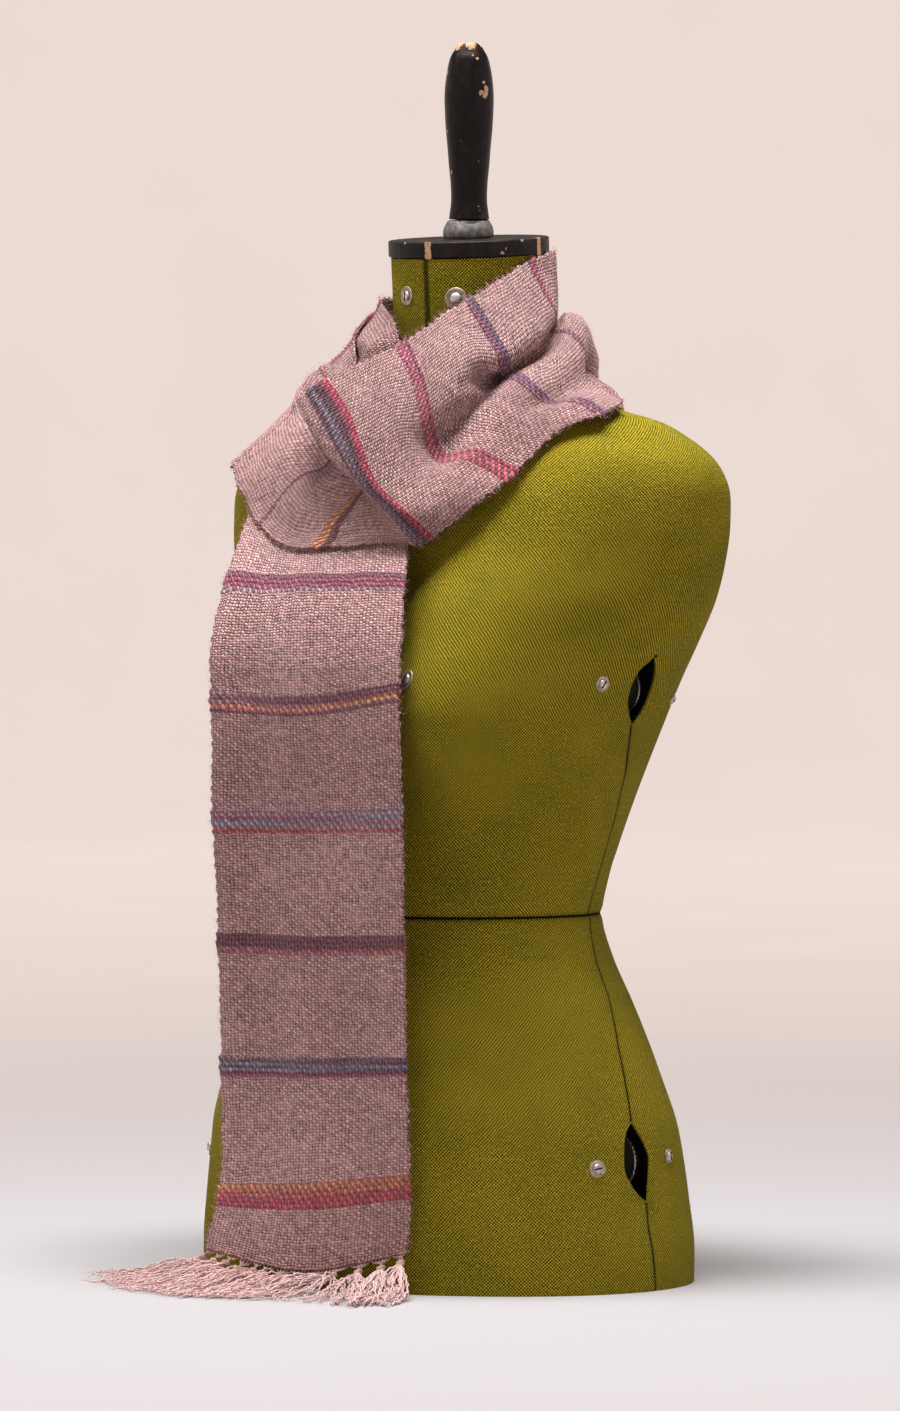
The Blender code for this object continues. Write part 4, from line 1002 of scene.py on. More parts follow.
def build_fasteners(steel, ring_steel, dark):
    """Slotted screws and a domed rivet, each on its washer, in the same places on the form's right."""
    heads, rings, slots = [], [], []
    for turn, height, head, ring, slot_turn, both in SCREWS:
        spot, normal = on_form(turn, height)
        sides = [(spot, normal)]
        if both:
            sides.append((Vector((-spot.x, spot.y, spot.z)), Vector((-normal.x, normal.y, normal.z))))
        for number, (at, up) in enumerate(sides):
            angle = math.radians(slot_turn + 47 * number)
            level = Vector((0, 0, 1)).cross(up).normalized()
            side = level * math.cos(angle) + up.cross(level) * math.sin(angle)
            profile = [(0.00, ring), (0.06, ring), (0.075, ring * 0.96), (0.07, ring * 0.80), (0.05, head * 1.12), (0.05, 0.02)]
            points, faces = lathe(profile, 40)
            rings.append((placed(points, at - up * 0.0001, up, side), faces))
            profile = [(0.05, head), (0.10, head), (0.15, head * 0.9), (0.185, head * 0.66), (0.20, head * 0.35), (0.205, 0.001)]
            points, faces = lathe(profile, 36)
            heads.append((placed(points, at, up, side), faces))
            # The slot is a near-black bar on the head: painted shade in the slot
            points, faces = box((head * 1.76 * CM, 0.10 * CM, 0.06 * CM), (0, 0, 0.19 * CM))
            slots.append((placed(points, at, up, side), faces))
    turn, height, head, ring = RIVET
    at, up = on_form(turn, height)
    points, faces = lathe([(0.0, ring), (0.07, ring), (0.10, ring * 0.93), (0.09, ring * 0.78), (0.06, head * 1.05), (0.06, 0.02)], 44)
    rings.append((placed(points, at - up * 0.0001, up), faces))
    points, faces = lathe([(0.05, head), (0.12, head * 0.98), (0.20, head * 0.85), (0.27, head * 0.58), (0.30, head * 0.25), (0.305, 0.001)], 40)
    heads.append((placed(points, at, up), faces))
    for name, parts, look in (("screw_heads", heads, steel), ("screw_washers", rings, ring_steel), ("screw_slots", slots, dark)):
        points, faces = joined(parts)
        piece(name, points, faces, look, smooth=name != "screw_slots")


DIALS = [
    # turn   height  radius  inset  along_y
    (-7.6, 37.75, 1.7, 0.75, 1.2),
    (-11.8, 8.05, 2.1, 0.70, 1.1),
]


def build_dials(rim_look, face_look, rod_look):
    """The adjusters: a thin ribbed wheel in each opening, and the rod it turns on."""
    rims, discs, rods = [], [], []
    for turn, height, radius, inset, along in DIALS:
        spot, normal = on_form(turn, height)
        centre = np.array(spot) - np.array([(radius + inset) * CM, -along * CM, 0])
        steps = 180
        ribs = np.arange(steps) * 2 * math.pi / steps
        wavy = radius * (1 + 0.010 * np.sign(np.sin(ribs * 45)))
        rows = []
        for z, scale in ((-0.17, 0.94), (-0.17, 0.985), (-0.13, 1.0), (0.13, 1.0), (0.17, 0.985), (0.17, 0.94)):
            rows.append(np.stack([wavy * scale * np.cos(ribs), wavy * scale * np.sin(ribs), np.full(steps, z)], axis=1) * CM)
        rims.append((placed(np.array(rows).reshape(-1, 3), centre, (0, -1, 0)), grid_faces(6, steps, ring=True)))
        points, faces = lathe([(0.15, radius * 0.95), (0.12, radius * 0.86), (0.12, radius * 0.40), (0.26, radius * 0.34), (0.26, 0.01)], 60)
        discs.append((placed(points, centre, (0, -1, 0)), faces))
        points, faces = lathe([(0.15, radius * 0.95), (0.12, radius * 0.86), (0.12, radius * 0.40), (0.26, radius * 0.34), (0.26, 0.01)], 60)
        discs.append((placed(points, centre, (0, 1, 0)), faces))
        points, faces = lathe([(-3.4, 0.01), (-3.4, 0.27), (3.4, 0.27), (3.4, 0.01)], 24)
        rods.append((placed(points, centre, (0, -1, 0)), faces))
    for name, parts, look in (("dial_rims", rims, rim_look), ("dial_faces", discs, face_look), ("dial_rods", rods, rod_look)):
        parts = parts + [mirrored(np.asarray(points), faces) for points, faces in parts]
        points, faces = joined(parts)
        piece(name, points, faces, look)


# ------------------------------------------------------------ cap and handle
CAP = {"radius": 5.2, "thick": 1.05, "above_neck": 0.05}
COLLAR_PROFILE = [(1.10, 0.01), (1.10, 1.50), (1.18, 1.60), (1.45, 1.64), (1.75, 1.60), (2.05, 1.46), (2.24, 1.34), (2.30, 1.22), (2.30, 0.01)]
HANDLE_PROFILE = [
    (2.34, 0.01), (2.35, 1.31), (2.85, 1.24), (3.5, 1.17), (4.65, 1.20), (5.8, 1.31), (6.95, 1.40), (8.15, 1.51), (9.25, 1.57),
    (10.3, 1.59), (11.55, 1.48), (12.2, 1.36), (12.75, 1.21), (13.15, 0.99), (13.52, 0.78), (13.65, 0.60), (13.70, 0.01),
]
# Chips of the handle's paint: turn from the front towards its left, height, size, in degrees and cm.
HANDLE_CHIPS = [
    (78, 10.75, 0.20), (74, 10.35, 0.20), (62, 10.50, 0.16), (70, 11.15, 0.12), (-45, 11.75, 0.20), (-48, 11.35, 0.12), (58, 12.7, 0.10),
    (-38, 8.0, 0.12), (10, 7.4, 0.05), (-33, 5.4, 0.13), (60, 6.1, 0.05), (64, 3.2, 0.07), (66, 2.95, 0.06), (45, 12.9, 0.08),
    (-30, 13.55, 0.36), (40, 13.62, 0.34), (120, 13.60, 0.34), (-120, 13.55, 0.36), (-55, 13.2, 0.16), (150, 9.0, 0.16), (-140, 11.0, 0.18),
]
CAP_CHIPS = [
    # turn from the front towards the left, height, size
    (57, 0.30, 0.12), (60, 0.55, 0.07), (-20, 1.02, 0.08), (74, 1.0, 0.10), (-62, 0.2, 0.10), (130, 0.9, 0.16), (-120, 0.9, 0.16), (160, 0.3, 0.12),
]


def smooth_profile(rows, count, sharp=()):
    """More rows for a turned profile, bent smoothly between its sharp corners."""
    rows = np.asarray(rows, float)
    stops = [0, *sharp, len(rows) - 1]
    parts = []
    for a, b in zip(stops, stops[1:]):
        part = rows[a : b + 1]
        if len(part) > 2:
            share = max(4, int(count * np.linalg.norm(np.diff(part, axis=0), axis=1).sum() / 16))
            line = even(through(np.column_stack([part, np.zeros(len(part))]), 300), share)[:, :2]
        else:
            line = part
        parts.append(line if not parts else line[1:])
    return np.concatenate(parts)


def build_head(paint, cap_paint, metal, wood, dark):
    turn = math.radians(SETTLED["turn"])
    forward = Vector((math.sin(turn), -math.cos(turn), 0))
    sideways = Vector((-math.cos(turn), -math.sin(turn), 0))
    cap_up = (forward * SETTLED["forward"] + sideways * SETTLED["sideways"] + Vector((0, 0, 1))).normalized()
    stem_up = (forward * SETTLED["forward"] + Vector((0, 0, 1))).normalized()
    top = Vector((0, NECK_AXIS_Y, TORSO[-1][0] * CM))

    def wear_of(points, chips, radius_of=None):
        """Nearness to the listed chips."""
        wear = np.zeros(len(points))
        heading = np.degrees(np.arctan2(points[:, 0], -points[:, 1]))
        reach = np.hypot(points[:, 0], points[:, 1])
        for chip_turn, chip_height, size in chips:
            off = (heading - chip_turn + 180) % 360 - 180
            gap = np.hypot(np.radians(off) * np.maximum(reach, 0.004), points[:, 2] - chip_height * CM) / (size * CM)
            wear = np.maximum(wear, np.clip(1.15 - 0.6 * gap, 0, 1))
        return wear

    # Handle
    profile = smooth_profile(HANDLE_PROFILE, 190, sharp=(1,))
    points, faces = lathe(profile, 96)
    height = points[:, 2] / CM
    edge = np.clip((height - 12.6) / 1.0, 0, 1) * 0.9 + np.clip((3.0 - height) / 0.5, 0, 1) * 0.6 + 0.12
    wear = np.stack([wear_of(points, HANDLE_CHIPS), edge, 0 * edge], axis=1)
    piece("handle", placed(points, top, stem_up), faces, paint, attributes={"wear": wear})

    # Collar
    profile = smooth_profile(COLLAR_PROFILE, 200, sharp=(1, 7))
    points, faces = lathe(profile, 96)
    height = points[:, 2] / CM
    heading = np.degrees(np.arctan2(points[:, 0], -points[:, 1]))
    spill = np.clip((height - 2.05 + 0.12 * np.sin(np.radians(heading * 3))) / 0.2, 0, 1) * (0.55 + 0.45 * np.sin(np.radians(heading)))
    piece("handle_collar", placed(points, top, cap_up), faces, metal, attributes={"wear": np.stack([spill * 0.9, 0 * spill, 0 * spill], axis=1)})

    # Cap, of four quarters with bare blocks in their joints
    low, high = CAP["above_neck"], CAP["above_neck"] + CAP["thick"]
    r = CAP["radius"]
    rows = [(low, 0.02), (low, 2.0), (low, 4.0), (low, r - 0.10), (low + 0.03, r - 0.03), (low + 0.08, r)]
    rows += [(z, r) for z in np.linspace(low + 0.18, high - 0.18, 9)]
    rows += [(high - 0.08, r), (high - 0.03, r - 0.03), (high, r - 0.10), (high, r - 0.5), (high, 4.0), (high, 2.0), (high, 0.02)]
    points, faces = lathe(rows, 240)
    heading = np.degrees(np.arctan2(points[:, 0], -points[:, 1]))
    height = points[:, 2] / CM
    edge = np.clip(1 - np.minimum(abs(height - low), abs(height - high)) / 0.12, 0, 1) * (np.hypot(points[:, 0], points[:, 1]) > (r - 0.2) * CM)
    wear = np.stack([np.maximum(wear_of(points, CAP_CHIPS), edge * 0.34), 0.15 + 0.4 * edge, 0 * edge], axis=1)
    piece("neck_cap", placed(points, top, cap_up), faces, cap_paint, attributes={"wear": wear})
    blocks, gaps = [], []
    for number, (angle, wide) in enumerate(((2.5, 0.46), (93.0, 0.50), (182.0, 0.46), (271.0, 0.48))):
        out = Vector((math.sin(math.radians(angle)), -math.cos(math.radians(angle)), 0))
        level = Vector((math.cos(math.radians(angle)), math.sin(math.radians(angle)), 0))
        rng = np.random.default_rng(7 + number)
        steps = 9
        grid = []
        for k, z in enumerate(np.linspace(low - 0.03, high + 0.005, steps)):
            left = -wide / 2 + rng.uniform(-0.05, 0.05)
            right = wide / 2 + rng.uniform(-0.05, 0.05)
            for s in (left, left * 0.4, right * 0.4, right):
                depth = r + 0.012 + rng.uniform(0, 0.02) - (0.03 if s in (left, right) else 0)
                grid.append(np.array(out) * depth * CM + np.array(level) * s * CM + np.array((0, 0, z * CM)))
        blocks.append((placed(np.array(grid), top, cap_up), grid_faces(steps, 4)))
        ring = np.array(grid).reshape(steps, 4, 3)
        back = ring - np.array(out) * 0.25 * CM
        loop = np.concatenate([ring[0], ring[:, 3], ring[-1][::-1], ring[::-1, 0]])
        behind = np.concatenate([back[0], back[:, 3], back[-1][::-1], back[::-1, 0]])
        blocks.append((placed(np.concatenate([behind, loop]), top, cap_up), grid_faces(2, len(loop), ring=True)))
        for side in (-1, 1):
            points, faces = box((0.035 * CM, 0.3 * CM, (CAP["thick"] + 0.004) * CM))
            shifted = placed(points, np.array(out) * (r - 0.142) * CM + np.array(level) * side * (wide / 2 + 0.03) * CM + np.array((0, 0, (low + high) / 2 * CM)), (0, 0, 1), tuple(level))
            gaps.append((placed(shifted, top, cap_up), faces))
        # The joint's line across the top
        points, faces = box((0.05 * CM, (r - 1.7) * CM, 0.012 * CM))
        shifted = placed(points, np.array(out) * ((r + 1.6) / 2) * CM + np.array((0, 0, (high + 0.002) * CM)), (0, 0, 1), tuple(level))
        gaps.append((placed(shifted, top, cap_up), faces))
    points, faces = joined(blocks)
    piece("cap_joint_blocks", points, faces, wood, smooth=False)
    points, faces = joined(gaps)
    piece("cap_joint_lines", points, faces, dark, smooth=False)


# ------------------------------------------------------------------ the cloth
def settled_cloth(skin):
    """The band as a coarse grid with its creases, clear of the form and of the stretches under it."""
    stations = np.linspace(0, CLOTH["length"], 431)
    across = np.linspace(0, CLOTH["width"], 31)
    grid = cloth_lines(stations, len(across))
    rise = np.zeros(grid.shape[:2])
    for (s0, a0), (s1, a1), half_width, height in CREASES:
        length = math.hypot(s1 - s0, a1 - a0)
        along = ((stations[:, None] - s0) * (s1 - s0) + (across[None, :] - a0) * (a1 - a0)) / length**2
        off = ((stations[:, None] - s0) * (a1 - a0) - (across[None, :] - a0) * (s1 - s0)) / length
        ends = np.clip(np.minimum(along, 1 - along) / 0.25 + 0.4, 0, 1)
        rise += height * np.exp(-((off / half_width) ** 2)) * ends * ends * (3 - 2 * ends)
    rise += 0.07 * ripple(stations, across, 5.5) + 0.035 * ripple(stations, across, 2.4)
    grid = (grid + grid_normals(grid) * rise[:, :, None]) * CM
    rows = {name: slice(int(np.searchsorted(stations, first)), int(np.searchsorted(stations, last, side="right"))) for name, first, last, _ in STRETCHES}
    for turn in range(8):
        pushed = push_clear(grid, skin, CLEAR["form"] * CM, 6 * CM, 0.0)
        for name, _, _, lies_over in STRETCHES:
            for lower in lies_over:
                under = grid[rows[lower]]
                tree = BVHTree.FromPolygons([Vector(p) for p in under.reshape(-1, 3)], grid_faces(*under.shape[:2]))
                pushed[rows[name]] = push_clear(pushed[rows[name]], tree, CLEAR["cloth"] * CM, 2.5 * CM, 0.6)
        lift = pushed - grid
        grid = grid + (soften(lift, 2) if turn < 6 else lift)
    return stations, across, grid


def yarn_rows(names, count):
    """One yarn, or two that take turns, for a number of picks."""
    yarns = [linear(YARN[name]) for name in names.split("+")]
    return np.array([yarns[k % len(yarns)] for k in range(count)])[:, None]


def weft_colours(stations, across):
    """Colour of the weft at each place, and how much of a stripe it is."""
    share = (across / CLOTH["width"])[None, :, None]
    base = linear(YARN["weft"]) * np.ones((len(stations), len(across), 3))
    drift = ripple(stations, across, 3.2)[:, :, None]
    pick = RNG.uniform(-1, 1, (len(stations), 1, 1))
    base = base * (1 + 0.05 * drift + 0.05 * pick)
    base = base + (linear((226, 180, 180)) - base) * np.clip(0.5 * ripple(stations, across, 6.0)[:, :, None], 0, 1)
    amount = np.zeros((len(stations), len(across)))
    for middle, bands in STRIPES.items():
        start = middle - sum(width for width, _, _ in bands) / 2
        for width, outer, inner in bands:
            rows = (stations >= start - 1e-6) & (stations < start + width)
            turn = np.clip(share * 1.5 - 0.25 + 0.35 * ripple(stations[rows], across, 2.2)[:, :, None], 0, 1) if rows.any() else 0
            if rows.any():
                colour = yarn_rows(outer, int(rows.sum())) * (1 - turn) + yarn_rows(inner, int(rows.sum())) * turn
                base[rows] = colour * (1 + 0.16 * RNG.uniform(-1, 1, (int(rows.sum()), 1, 1)) + 0.12 * ripple(stations[rows], across, 0.9)[:, :, None])
                amount[rows] = 1.0
            start += width
    # Dark red yarn is carried up the far selvedge from one stripe to the next, and its dark maroon also paints the
    # shade of the crevice where this edge lies.
    red_edge_and_shade = (stations[:, None] > 117.5) & (stations[:, None] < 134.5) & (across[None, :] > CLOTH["width"] - 0.4)
    base = np.where(red_edge_and_shade[:, :, None], linear(YARN["crimson"]) * 0.45 + linear(YARN["maroon"]) * 0.55, base)
    amount = np.where(red_edge_and_shade, 1.0, amount)
    return np.clip(base, 0, 1), amount


def build_scarf(skin, look):
    stations, across, coarse = settled_cloth(skin)
    picks = int(round(CLOTH["length"] / PICKS_APART))
    pick = CLOTH["length"] / picks
    fine_s = np.concatenate([[0.0], (np.arange(picks) + 0.5) * pick, [CLOTH["length"]]])
    width = CLOTH["width"]
    fine_a = np.concatenate([[0.0, 0.12, 0.3, 0.55], np.linspace(0.9, width - 0.9, 30), [width - 0.55, width - 0.3, width - 0.12, width]])
    grid = finer(coarse, stations, fine_s, across, fine_a)
    colours, stripe = weft_colours(fine_s, fine_a)
    normals = grid_normals(grid)
    # Stripes of thicker yarn stand a little higher and reach past the selvedge.
    rise = 0.035 * stripe + 0.018 * ripple(fine_s, fine_a, 1.1) + 0.012 * ripple(fine_s, fine_a, 0.45)
    grid = grid + normals * (rise * CM)[:, :, None]
    outward = np.gradient(grid, axis=1)
    outward /= np.linalg.norm(outward, axis=2, keepdims=True)
    beat = np.where(np.arange(len(fine_s)) % 4 < 2, 1.0, -1.0)
    wobble = 0.045 * beat + 0.05 * RNG.uniform(-1, 1, len(fine_s)) + 0.06 * ripple(fine_s, fine_a[:2], 1.3)[:, 0] + 0.10 * stripe[:, 0]
    wobble_in = 0.045 * beat + 0.05 * RNG.uniform(-1, 1, len(fine_s)) + 0.06 * ripple(fine_s, fine_a[:2], 1.3)[:, 1] + 0.08 * stripe[:, 0]
    for column, share in ((0, 1.0), (1, 0.7), (2, 0.3)):
        grid[:, column] -= outward[:, column] * (wobble * share * CM)[:, None]
        grid[:, -1 - column] += outward[:, -1 - column] * (wobble_in * share * CM)[:, None]
    normals = grid_normals(grid)
    half = CLOTH["thick"] / 2 * CM
    edge = np.minimum(fine_a, width - fine_a)[None, :] / 0.35
    body = half * (0.55 + 0.45 * np.clip(edge, 0, 1))[:, :, None] * np.ones((len(fine_s), 1, 1))
    weave = np.stack(np.broadcast_arrays(fine_a[None, :] * CM, fine_s[:, None] * CM, stripe), axis=2)
    top, under = grid + normals * body, grid - normals * body
    rows, columns = grid.shape[:2]
    faces = np.array(grid_faces(rows, columns))
    flipped = faces[:, ::-1] + rows * columns
    ring = np.concatenate([
        np.arange(columns), np.arange(1, rows) * columns + columns - 1,
        (rows - 1) * columns + np.arange(columns - 2, -1, -1), np.arange(rows - 2, 0, -1) * columns,
    ])
    rim = np.stack([ring, np.roll(ring, -1), np.roll(ring, -1) + rows * columns, ring + rows * columns], axis=1)[:, ::-1]
    points = np.concatenate([top.reshape(-1, 3), under.reshape(-1, 3)])
    both = {"weave": np.tile(weave.reshape(-1, 3), (2, 1)), "weft": np.tile(opaque(colours).reshape(-1, 4), (2, 1))}
    scarf = piece("scarf_cloth", points, np.concatenate([faces, flipped, rim]), look, attributes=both)
    return scarf, (fine_s, fine_a, grid, normals, colours, stripe)


def build_nap(cloth, look, count=21000, edge_count=5000):
    """Loose fibres that stand off the wool, most of them lying nearly flat."""
    fine_s, fine_a, grid, normals, colours, stripe = cloth
    rows, columns = grid.shape[:2]
    i = RNG.integers(1, rows - 1, count)
    j = RNG.integers(0, columns, count)
    edge_rows = RNG.integers(1, rows - 1, edge_count)
    i = np.concatenate([i, edge_rows])
    j = np.concatenate([j, np.where(RNG.random(edge_count) < 0.5, 0, columns - 1)])
    total = len(i)
    side = np.where(RNG.random(total) < 0.72, 1.0, -1.0)[:, None]
    across = np.gradient(grid, axis=1)[i, j]
    across /= np.linalg.norm(across, axis=1, keepdims=True)
    along = np.cross(normals[i, j], across)
    base = grid[i, j] + across * RNG.uniform(-0.0015, 0.0015, (total, 1)) + along * RNG.uniform(-0.0008, 0.0008, (total, 1))
    base = base + normals[i, j] * side * CLOTH["thick"] / 2 * CM * 0.8
    turn = RNG.uniform(0, 2 * math.pi, (total, 1))
    flat = across * np.cos(turn) + along * np.sin(turn)
    is_edge = (np.arange(total) >= count)[:, None]
    outward = across * np.where(j == 0, -1.0, 1.0)[:, None]
    lift = normals[i, j] * side
    away = np.where(is_edge, outward * 0.8 + flat * 0.5 + lift * 0.2, lift * RNG.uniform(0.15, 0.8, (total, 1)) + flat * 0.8)
    away /= np.linalg.norm(away, axis=1, keepdims=True)
    length = RNG.uniform(0.0012, 0.0042, (total, 1))
    bend = np.cross(away, flat + 0.2 * lift) * RNG.uniform(-0.5, 0.5, (total, 1)) + flat * RNG.uniform(-0.3, 0.5, (total, 1))
    middle = base + away * length * 0.55 + bend * length * 0.15
    tip = base + away * length * 0.85 + bend * length * 0.55
    wide = np.cross(away, RNG.normal(size=(total, 3)))
    wide /= np.linalg.norm(wide, axis=1, keepdims=True)
    wide = wide * 0.00007
    points = np.stack([base - wide, base + wide, middle + wide * 0.8, middle - wide * 0.8, tip + wide * 0.3, tip - wide * 0.3], axis=1)
    start = np.arange(total)[:, None] * 6
    faces = np.concatenate([start + np.array([0, 1, 2, 3]), start + np.array([3, 2, 4, 5])])
    shade = colours[i, j] * 0.55 + linear(YARN["warp"]) * 0.5
    shade = shade * RNG.uniform(0.85, 1.15, (total, 1))
    return piece("scarf_nap", points.reshape(-1, 3), faces, look, attributes={"shade": opaque(np.repeat(np.clip(shade, 0, 1), 6, axis=0))})


def fringe_points(cloth, front):
    """Hem points of the warp ends and the way that they hang out of the cloth."""
    fine_s, fine_a, grid, _, _, _ = cloth
    hem, inner = (grid[0], grid[6]) if front else (grid[-1], grid[-7])
    out = hem - inner
    out /= np.linalg.norm(out, axis=1, keepdims=True)

    def at(across):
        across = np.atleast_1d(across)
        return (
            np.stack([np.interp(across, fine_a, hem[:, k]) for k in range(3)], axis=1),
            np.stack([np.interp(across, fine_a, out[:, k]) for k in range(3)], axis=1),
        )

    return at


def build_fringe(cloth, look, front, name):
    at = fringe_points(cloth, front)
    rng = np.random.default_rng(11 if front else 12)
    lay = np.array([[across, *bend, *tip] for across, bend, tip in FRINGE_LAY])
    legs, leg_radii, strands, strand_radii, knots = [], [], [], [], []
    steps = 34
    for number, across in enumerate(BUNCHES):
        before = BUNCHES[number - 1] if number else -0.2
        after = BUNCHES[number + 1] if number + 1 < len(BUNCHES) else CLOTH["width"] + 0.2
        low, high = (across + before) / 2, (across + after) / 2
        if not front:
            across = CLOTH["width"] - across
            low, high = CLOTH["width"] - high, CLOTH["width"] - low
        spot, out = at(across)
        spot, out = spot[0], out[0]
        drop = rng.uniform(0.65, 0.95)
        bend = smooth_table(lay, across)[0] if front else None
        if front:
            lean = np.array([bend[0], bend[1], bend[2]]) * CM - spot
            lean /= np.linalg.norm(lean)
            aim = out * 0.55 + lean * 0.6
        else:
            aim = out + np.array([rng.uniform(-0.08, 0.08), rng.uniform(0.0, 0.08), 0])
        aim /= np.linalg.norm(aim)
        knot = spot + aim * drop * CM
        knot[2] = max(knot[2], 0.0042)
        # Warp ends from the hem gather into the knot.
        ends = np.arange(math.ceil(low / ENDS_APART), math.floor(high / ENDS_APART) + 1) * ENDS_APART
        for end in ends:
            start, theirs = at(np.clip(end, 0.05, CLOTH["width"] - 0.05))
            start, theirs = start[0] - theirs[0] * 0.0012, theirs[0]
            pull = knot + rng.normal(0, 0.0004, 3)
            line = even(through([start, start + theirs * drop * 0.26 * CM, pull - aim * 0.0036, pull], 60), steps)
            legs.append(line)
            leg_radii.append(np.full(steps, 0.00058))
        # The knot: a few tight turns of yarn.
        turns = rng.uniform(0.9, 1.2)
        level = np.cross(aim, [0.3, 0.2, 1.0])
        level /= np.linalg.norm(level)
        other = np.cross(aim, level)
        for coil in range(3):
            t = np.linspace(0, 2 * math.pi * 1.25, steps) + coil * 2.1
            tilt = 0.0011 * np.sin(t + coil)
            line = knot + (np.outer(np.cos(t), level) + np.outer(np.sin(t), other)) * 0.00165 * turns + np.outer(tilt + np.linspace(-0.0009, 0.0009, steps), aim)
            line[:, 2] = np.maximum(line[:, 2], 0.0008)
            knots.append(line)
        # Below the knot each end opens into its plies.
        plies = 26
        for ply in range(plies):
            share = (ply + 0.5) / plies - 0.5
            fan = rng.normal(0, 0.30)
            if front:
                reach = across + share * 1.9 + fan * 0.8
                row = smooth_table(lay, np.clip(reach, 0, 14.8))[0]
                middle = row[:3] * CM + rng.normal(0, 0.0022, 3)
                tip = row[3:6] * CM + np.array([rng.normal(0, 0.005), rng.normal(0, 0.005), 0])
                # A few plies fall short or curl on their way.
                shorten = rng.uniform(0.72, 1.0)
                tip = middle + (tip - middle) * shorten
                heap = abs(rng.normal(0, 0.0026))
                middle[2] = max(0.0016, min(middle[2] * rng.uniform(0.35, 1.0), spot[2]) + heap)
                tip[2] = 0.0008 + heap * 0.5 + rng.uniform(0, 0.0012)
                quarter = knot + (middle - knot) * 0.42 + np.array([rng.normal(0, 0.0015), rng.normal(0, 0.0015), 0.0006])
                late = middle + (tip - middle) * 0.55 + np.array([rng.normal(0, 0.003), rng.normal(0, 0.003), 0])
                late[2] = 0.0012 + heap * 0.9
                points = [knot, quarter, middle, late, tip]
            else:
                length = FRINGE_BACK_DROP * rng.uniform(0.86, 1.0) * CM
                swing = np.array([share * 0.010 + rng.normal(0, 0.0012), rng.normal(0.001, 0.0012), 0])
                points = [knot + aim * length * share_of + swing * math.sqrt(share_of) + rng.normal(0, 0.0008, 3) * share_of for share_of in (0, 0.12, 0.4, 0.75, 0.92)]
                for point, share_of in zip(points, (0, 0.12, 0.4, 0.75, 0.92)):
                    point[2] = knot[2] - length * share_of * 0.995
            line = even(through(points, 120), steps)
            t = np.linspace(0, 1, steps)
            size = 0.00055 * np.minimum(t * 8, 1) * (0.6 + 0.6 * t)
            phase = rng.uniform(0, 6.28, 3)
            crimp = np.stack([np.sin(t * rng.uniform(34, 52) + p) for p in phase], axis=1) * size[:, None]
            line = line + crimp
            line[:, 2] = np.maximum(line[:, 2], 0.0007)
            strands.append(line)
            strand_radii.append(0.00060 * (1.0 - 0.35 * t) * np.minimum((1 - t) * 14 + 0.25, 1))
    lines = np.array(legs + strands)
    points, faces, owner = tubes(lines, np.array(leg_radii + strand_radii), 6)
    tone = rng.uniform(0.86, 1.12, len(lines))
    pale = rng.uniform(0, 1, (len(lines), 1))
    colour = (linear((244, 212, 208)) * pale + linear((234, 190, 188)) * (1 - pale)) * tone[:, None]
    colour[: len(legs)] = linear((200, 158, 154)) * tone[: len(legs), None]
    length = np.linalg.norm(np.diff(lines, axis=1), axis=2).sum(axis=1)
    along = (np.linspace(0, 1, steps)[None, :] * length[:, None]).reshape(-1)
    round_it = np.tile(np.arange(6) * 2 * math.pi / 6, len(lines) * steps)
    strand = np.stack([np.repeat(along, 6), round_it, np.zeros(len(points))], axis=1)
    sets = [(points, faces, np.repeat(colour, steps * 6, axis=0), strand)]
    knots = np.array(knots)
    points, faces, owner = tubes(knots, 0.00105, 6)
    colour = np.repeat(linear((214, 172, 167))[None] * rng.uniform(0.85, 1.1, (len(knots), 1)), steps * 6, axis=0)
    along = np.tile(np.repeat(np.linspace(0, 0.012, steps), 6), len(knots))
    strand = np.stack([along, np.tile(np.arange(6) * 2 * math.pi / 6, len(knots) * steps), np.zeros(len(points))], axis=1)
    sets.append((points, faces, colour, strand))
    start = len(sets[0][0])
    points = np.concatenate([sets[0][0], sets[1][0]])
    faces = np.concatenate([sets[0][1], sets[1][1] + start])
    colour = np.clip(np.concatenate([sets[0][2], sets[1][2]]), 0, 1)
    strand = np.concatenate([sets[0][3], sets[1][3]])
    return piece(name, points, faces, look, attributes={"shade": opaque(colour), "strand": strand})


# ---------------------------------------------------------------- put together
wool, nap_wool, fringe_wool, canvas = wool_look(), nap_look(), fringe_look(), canvas_look()
handle_paint = paint_look("handle_paint", (9, 8, 9), 0.40, (196, 160, 124))
cap_paint = paint_look("cap_paint", (20, 18, 18), 0.5, (190, 165, 132))
bare_wood = wood_look()
collar_metal = metal_look("collar_metal", (150, 146, 142), 0.74, paint=True)
steel = metal_look("screw_steel", (236, 230, 222), 0.46)
washer_steel = metal_look("washer_steel", (206, 186, 168), 0.62)
dial_metal = metal_look("dial_metal", (190, 188, 182), 0.35)
dial_face = plain_look("dial_face", (58, 58, 50), 0.55)
rod_metal = metal_look("rod_metal", (110, 106, 98), 0.45)
# Near-black: painted shade in the opening hollows and the screw slots; also the dark joint lines of the cap
black = plain_look("shadow_gap", (12, 12, 10), 0.9)

torso, opening_edges = build_torso(canvas)
build_pockets(opening_edges, canvas, black)
build_fasteners(steel, washer_steel, black)
build_dials(dial_metal, dial_face, rod_metal)
build_head(handle_paint, cap_paint, collar_metal, bare_wood, black)

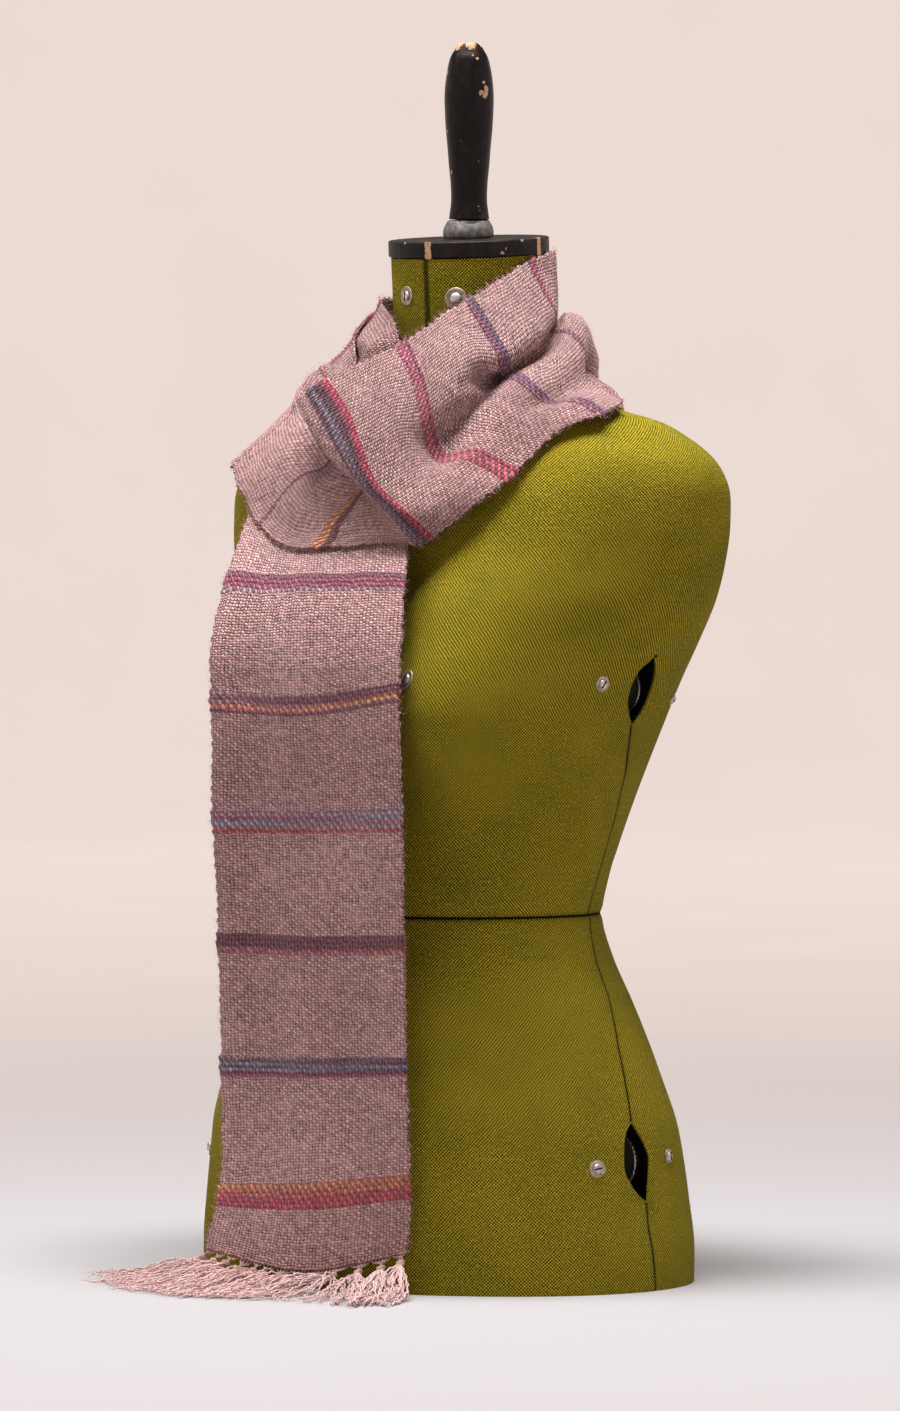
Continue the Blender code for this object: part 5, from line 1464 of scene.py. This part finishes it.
ring_heights = torso_heights(150)
ring_turns = np.arange(120) * 2 * math.pi / 120
skin_points = torso_points(*np.meshgrid(ring_heights, ring_turns, indexing="ij")) * CM
skin = BVHTree.FromPolygons([Vector(p) for p in skin_points.reshape(-1, 3)], grid_faces(150, 120, ring=True))
scarf, cloth = build_scarf(skin, wool)
nap = build_nap(cloth, nap_wool)
fringe_front = build_fringe(cloth, fringe_wool, True, "fringe_front_strands")
fringe_back = build_fringe(cloth, fringe_wool, False, "fringe_back_strands")

for thing in ROOT:
    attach(thing, "root")
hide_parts("scarf_front_tail", "scarf_neck_back", "scarf_front_band", "scarf_shoulder_turn", "scarf_back_tail")
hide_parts("fringe_front")
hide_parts("fringe_back")
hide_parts("form_torso")
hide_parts("form_neck_cap")
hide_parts("form_collar")
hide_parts("form_handle")

# ------------------------------------------------------- camera, floor, lights
AZIMUTH, DISTANCE, CAMERA_HEIGHT = math.radians(33.0), 4.0, 0.425
right = Vector((math.cos(AZIMUTH), math.sin(AZIMUTH), 0))
ahead = Vector((-math.sin(AZIMUTH), math.cos(AZIMUTH), 0))
camera_data = bpy.data.cameras.new("camera")
camera_data.sensor_fit = "VERTICAL"
camera_data.sensor_height = 36.0
camera_data.lens = 36.0 * 6211 / 1411
camera = bpy.data.objects.new("camera", camera_data)
camera.location = -ahead * DISTANCE + right * 0.0021 + Vector((0, 0, CAMERA_HEIGHT))
pitch = math.atan((614 - 705.5) / 6211)
look_along = ahead * math.cos(pitch) + Vector((0, 0, math.sin(pitch)))
camera.rotation_euler = look_along.to_track_quat("-Z", "Y").to_euler()
bpy.context.scene.collection.objects.link(camera)
bpy.context.scene.camera = camera

# A pale round floor that turns up into a pale wall all round, beyond every view of the part.
steps, ring = 20, 96
profile = [(r, 0.0) for r in (0.001, 0.25, 0.5, 0.8, 1.2, 1.8, 2.6, 3.6, 5.0, 7.2)]
profile += [(7.2 + 1.2 * math.sin(a), 1.2 - 1.2 * math.cos(a)) for a in np.linspace(0, math.pi / 2, steps)[1:]]
profile += [(8.4, 2.0), (8.4, 3.4)]
floor_points = [(r * math.cos(a), r * math.sin(a), z) for r, z in profile for a in np.arange(ring) * 2 * math.pi / ring]
backdrop = studio_look()
mesh = bpy.data.meshes.new("studio_floor")
mesh.from_pydata(floor_points, [], grid_faces(len(profile), ring, ring=True))
mesh.shade_smooth()
mesh.materials.append(backdrop)
floor = bpy.data.objects.new("studio_floor", mesh)
bpy.context.scene.collection.objects.link(floor)


def area_light(name, at, aim, size, power, colour):
    data = bpy.data.lights.new(name, "AREA")
    data.shape = "RECTANGLE"
    data.size, data.size_y = size
    data.energy, data.color = power, colour
    lamp = bpy.data.objects.new(name, data)
    lamp.location = at
    lamp.rotation_euler = (Vector(aim) - Vector(at)).to_track_quat("-Z", "Y").to_euler()
    bpy.context.scene.collection.objects.link(lamp)


def studio(sideways, towards, height):
    """A place in the room: right of the camera's line, towards the camera, and up."""
    return right * sideways - ahead * towards + Vector((0, 0, height))


target = (0, 0, 0.42)
area_light("top", studio(0.0, 0.27, 2.6), target, (1.2, 0.8), 113.0, (1.0, 0.975, 0.965))
area_light("top_left", studio(-1.3, 0.0, 2.5), target, (1.0, 1.0), 20.0, (1.0, 0.975, 0.965))
area_light("right", studio(2.0, 0.4, 1.4), target, (1.2, 1.4), 2.0, (0.98, 0.98, 1.0))

world = bpy.context.scene.world or bpy.data.worlds.new("world")
bpy.context.scene.world = world
world.use_nodes = True
world.node_tree.nodes["Background"].inputs[0].default_value = (1.0, 0.965, 0.945, 1.0)
world.node_tree.nodes["Background"].inputs[1].default_value = 0.01
bpy.context.scene.view_settings.view_transform = "Standard"
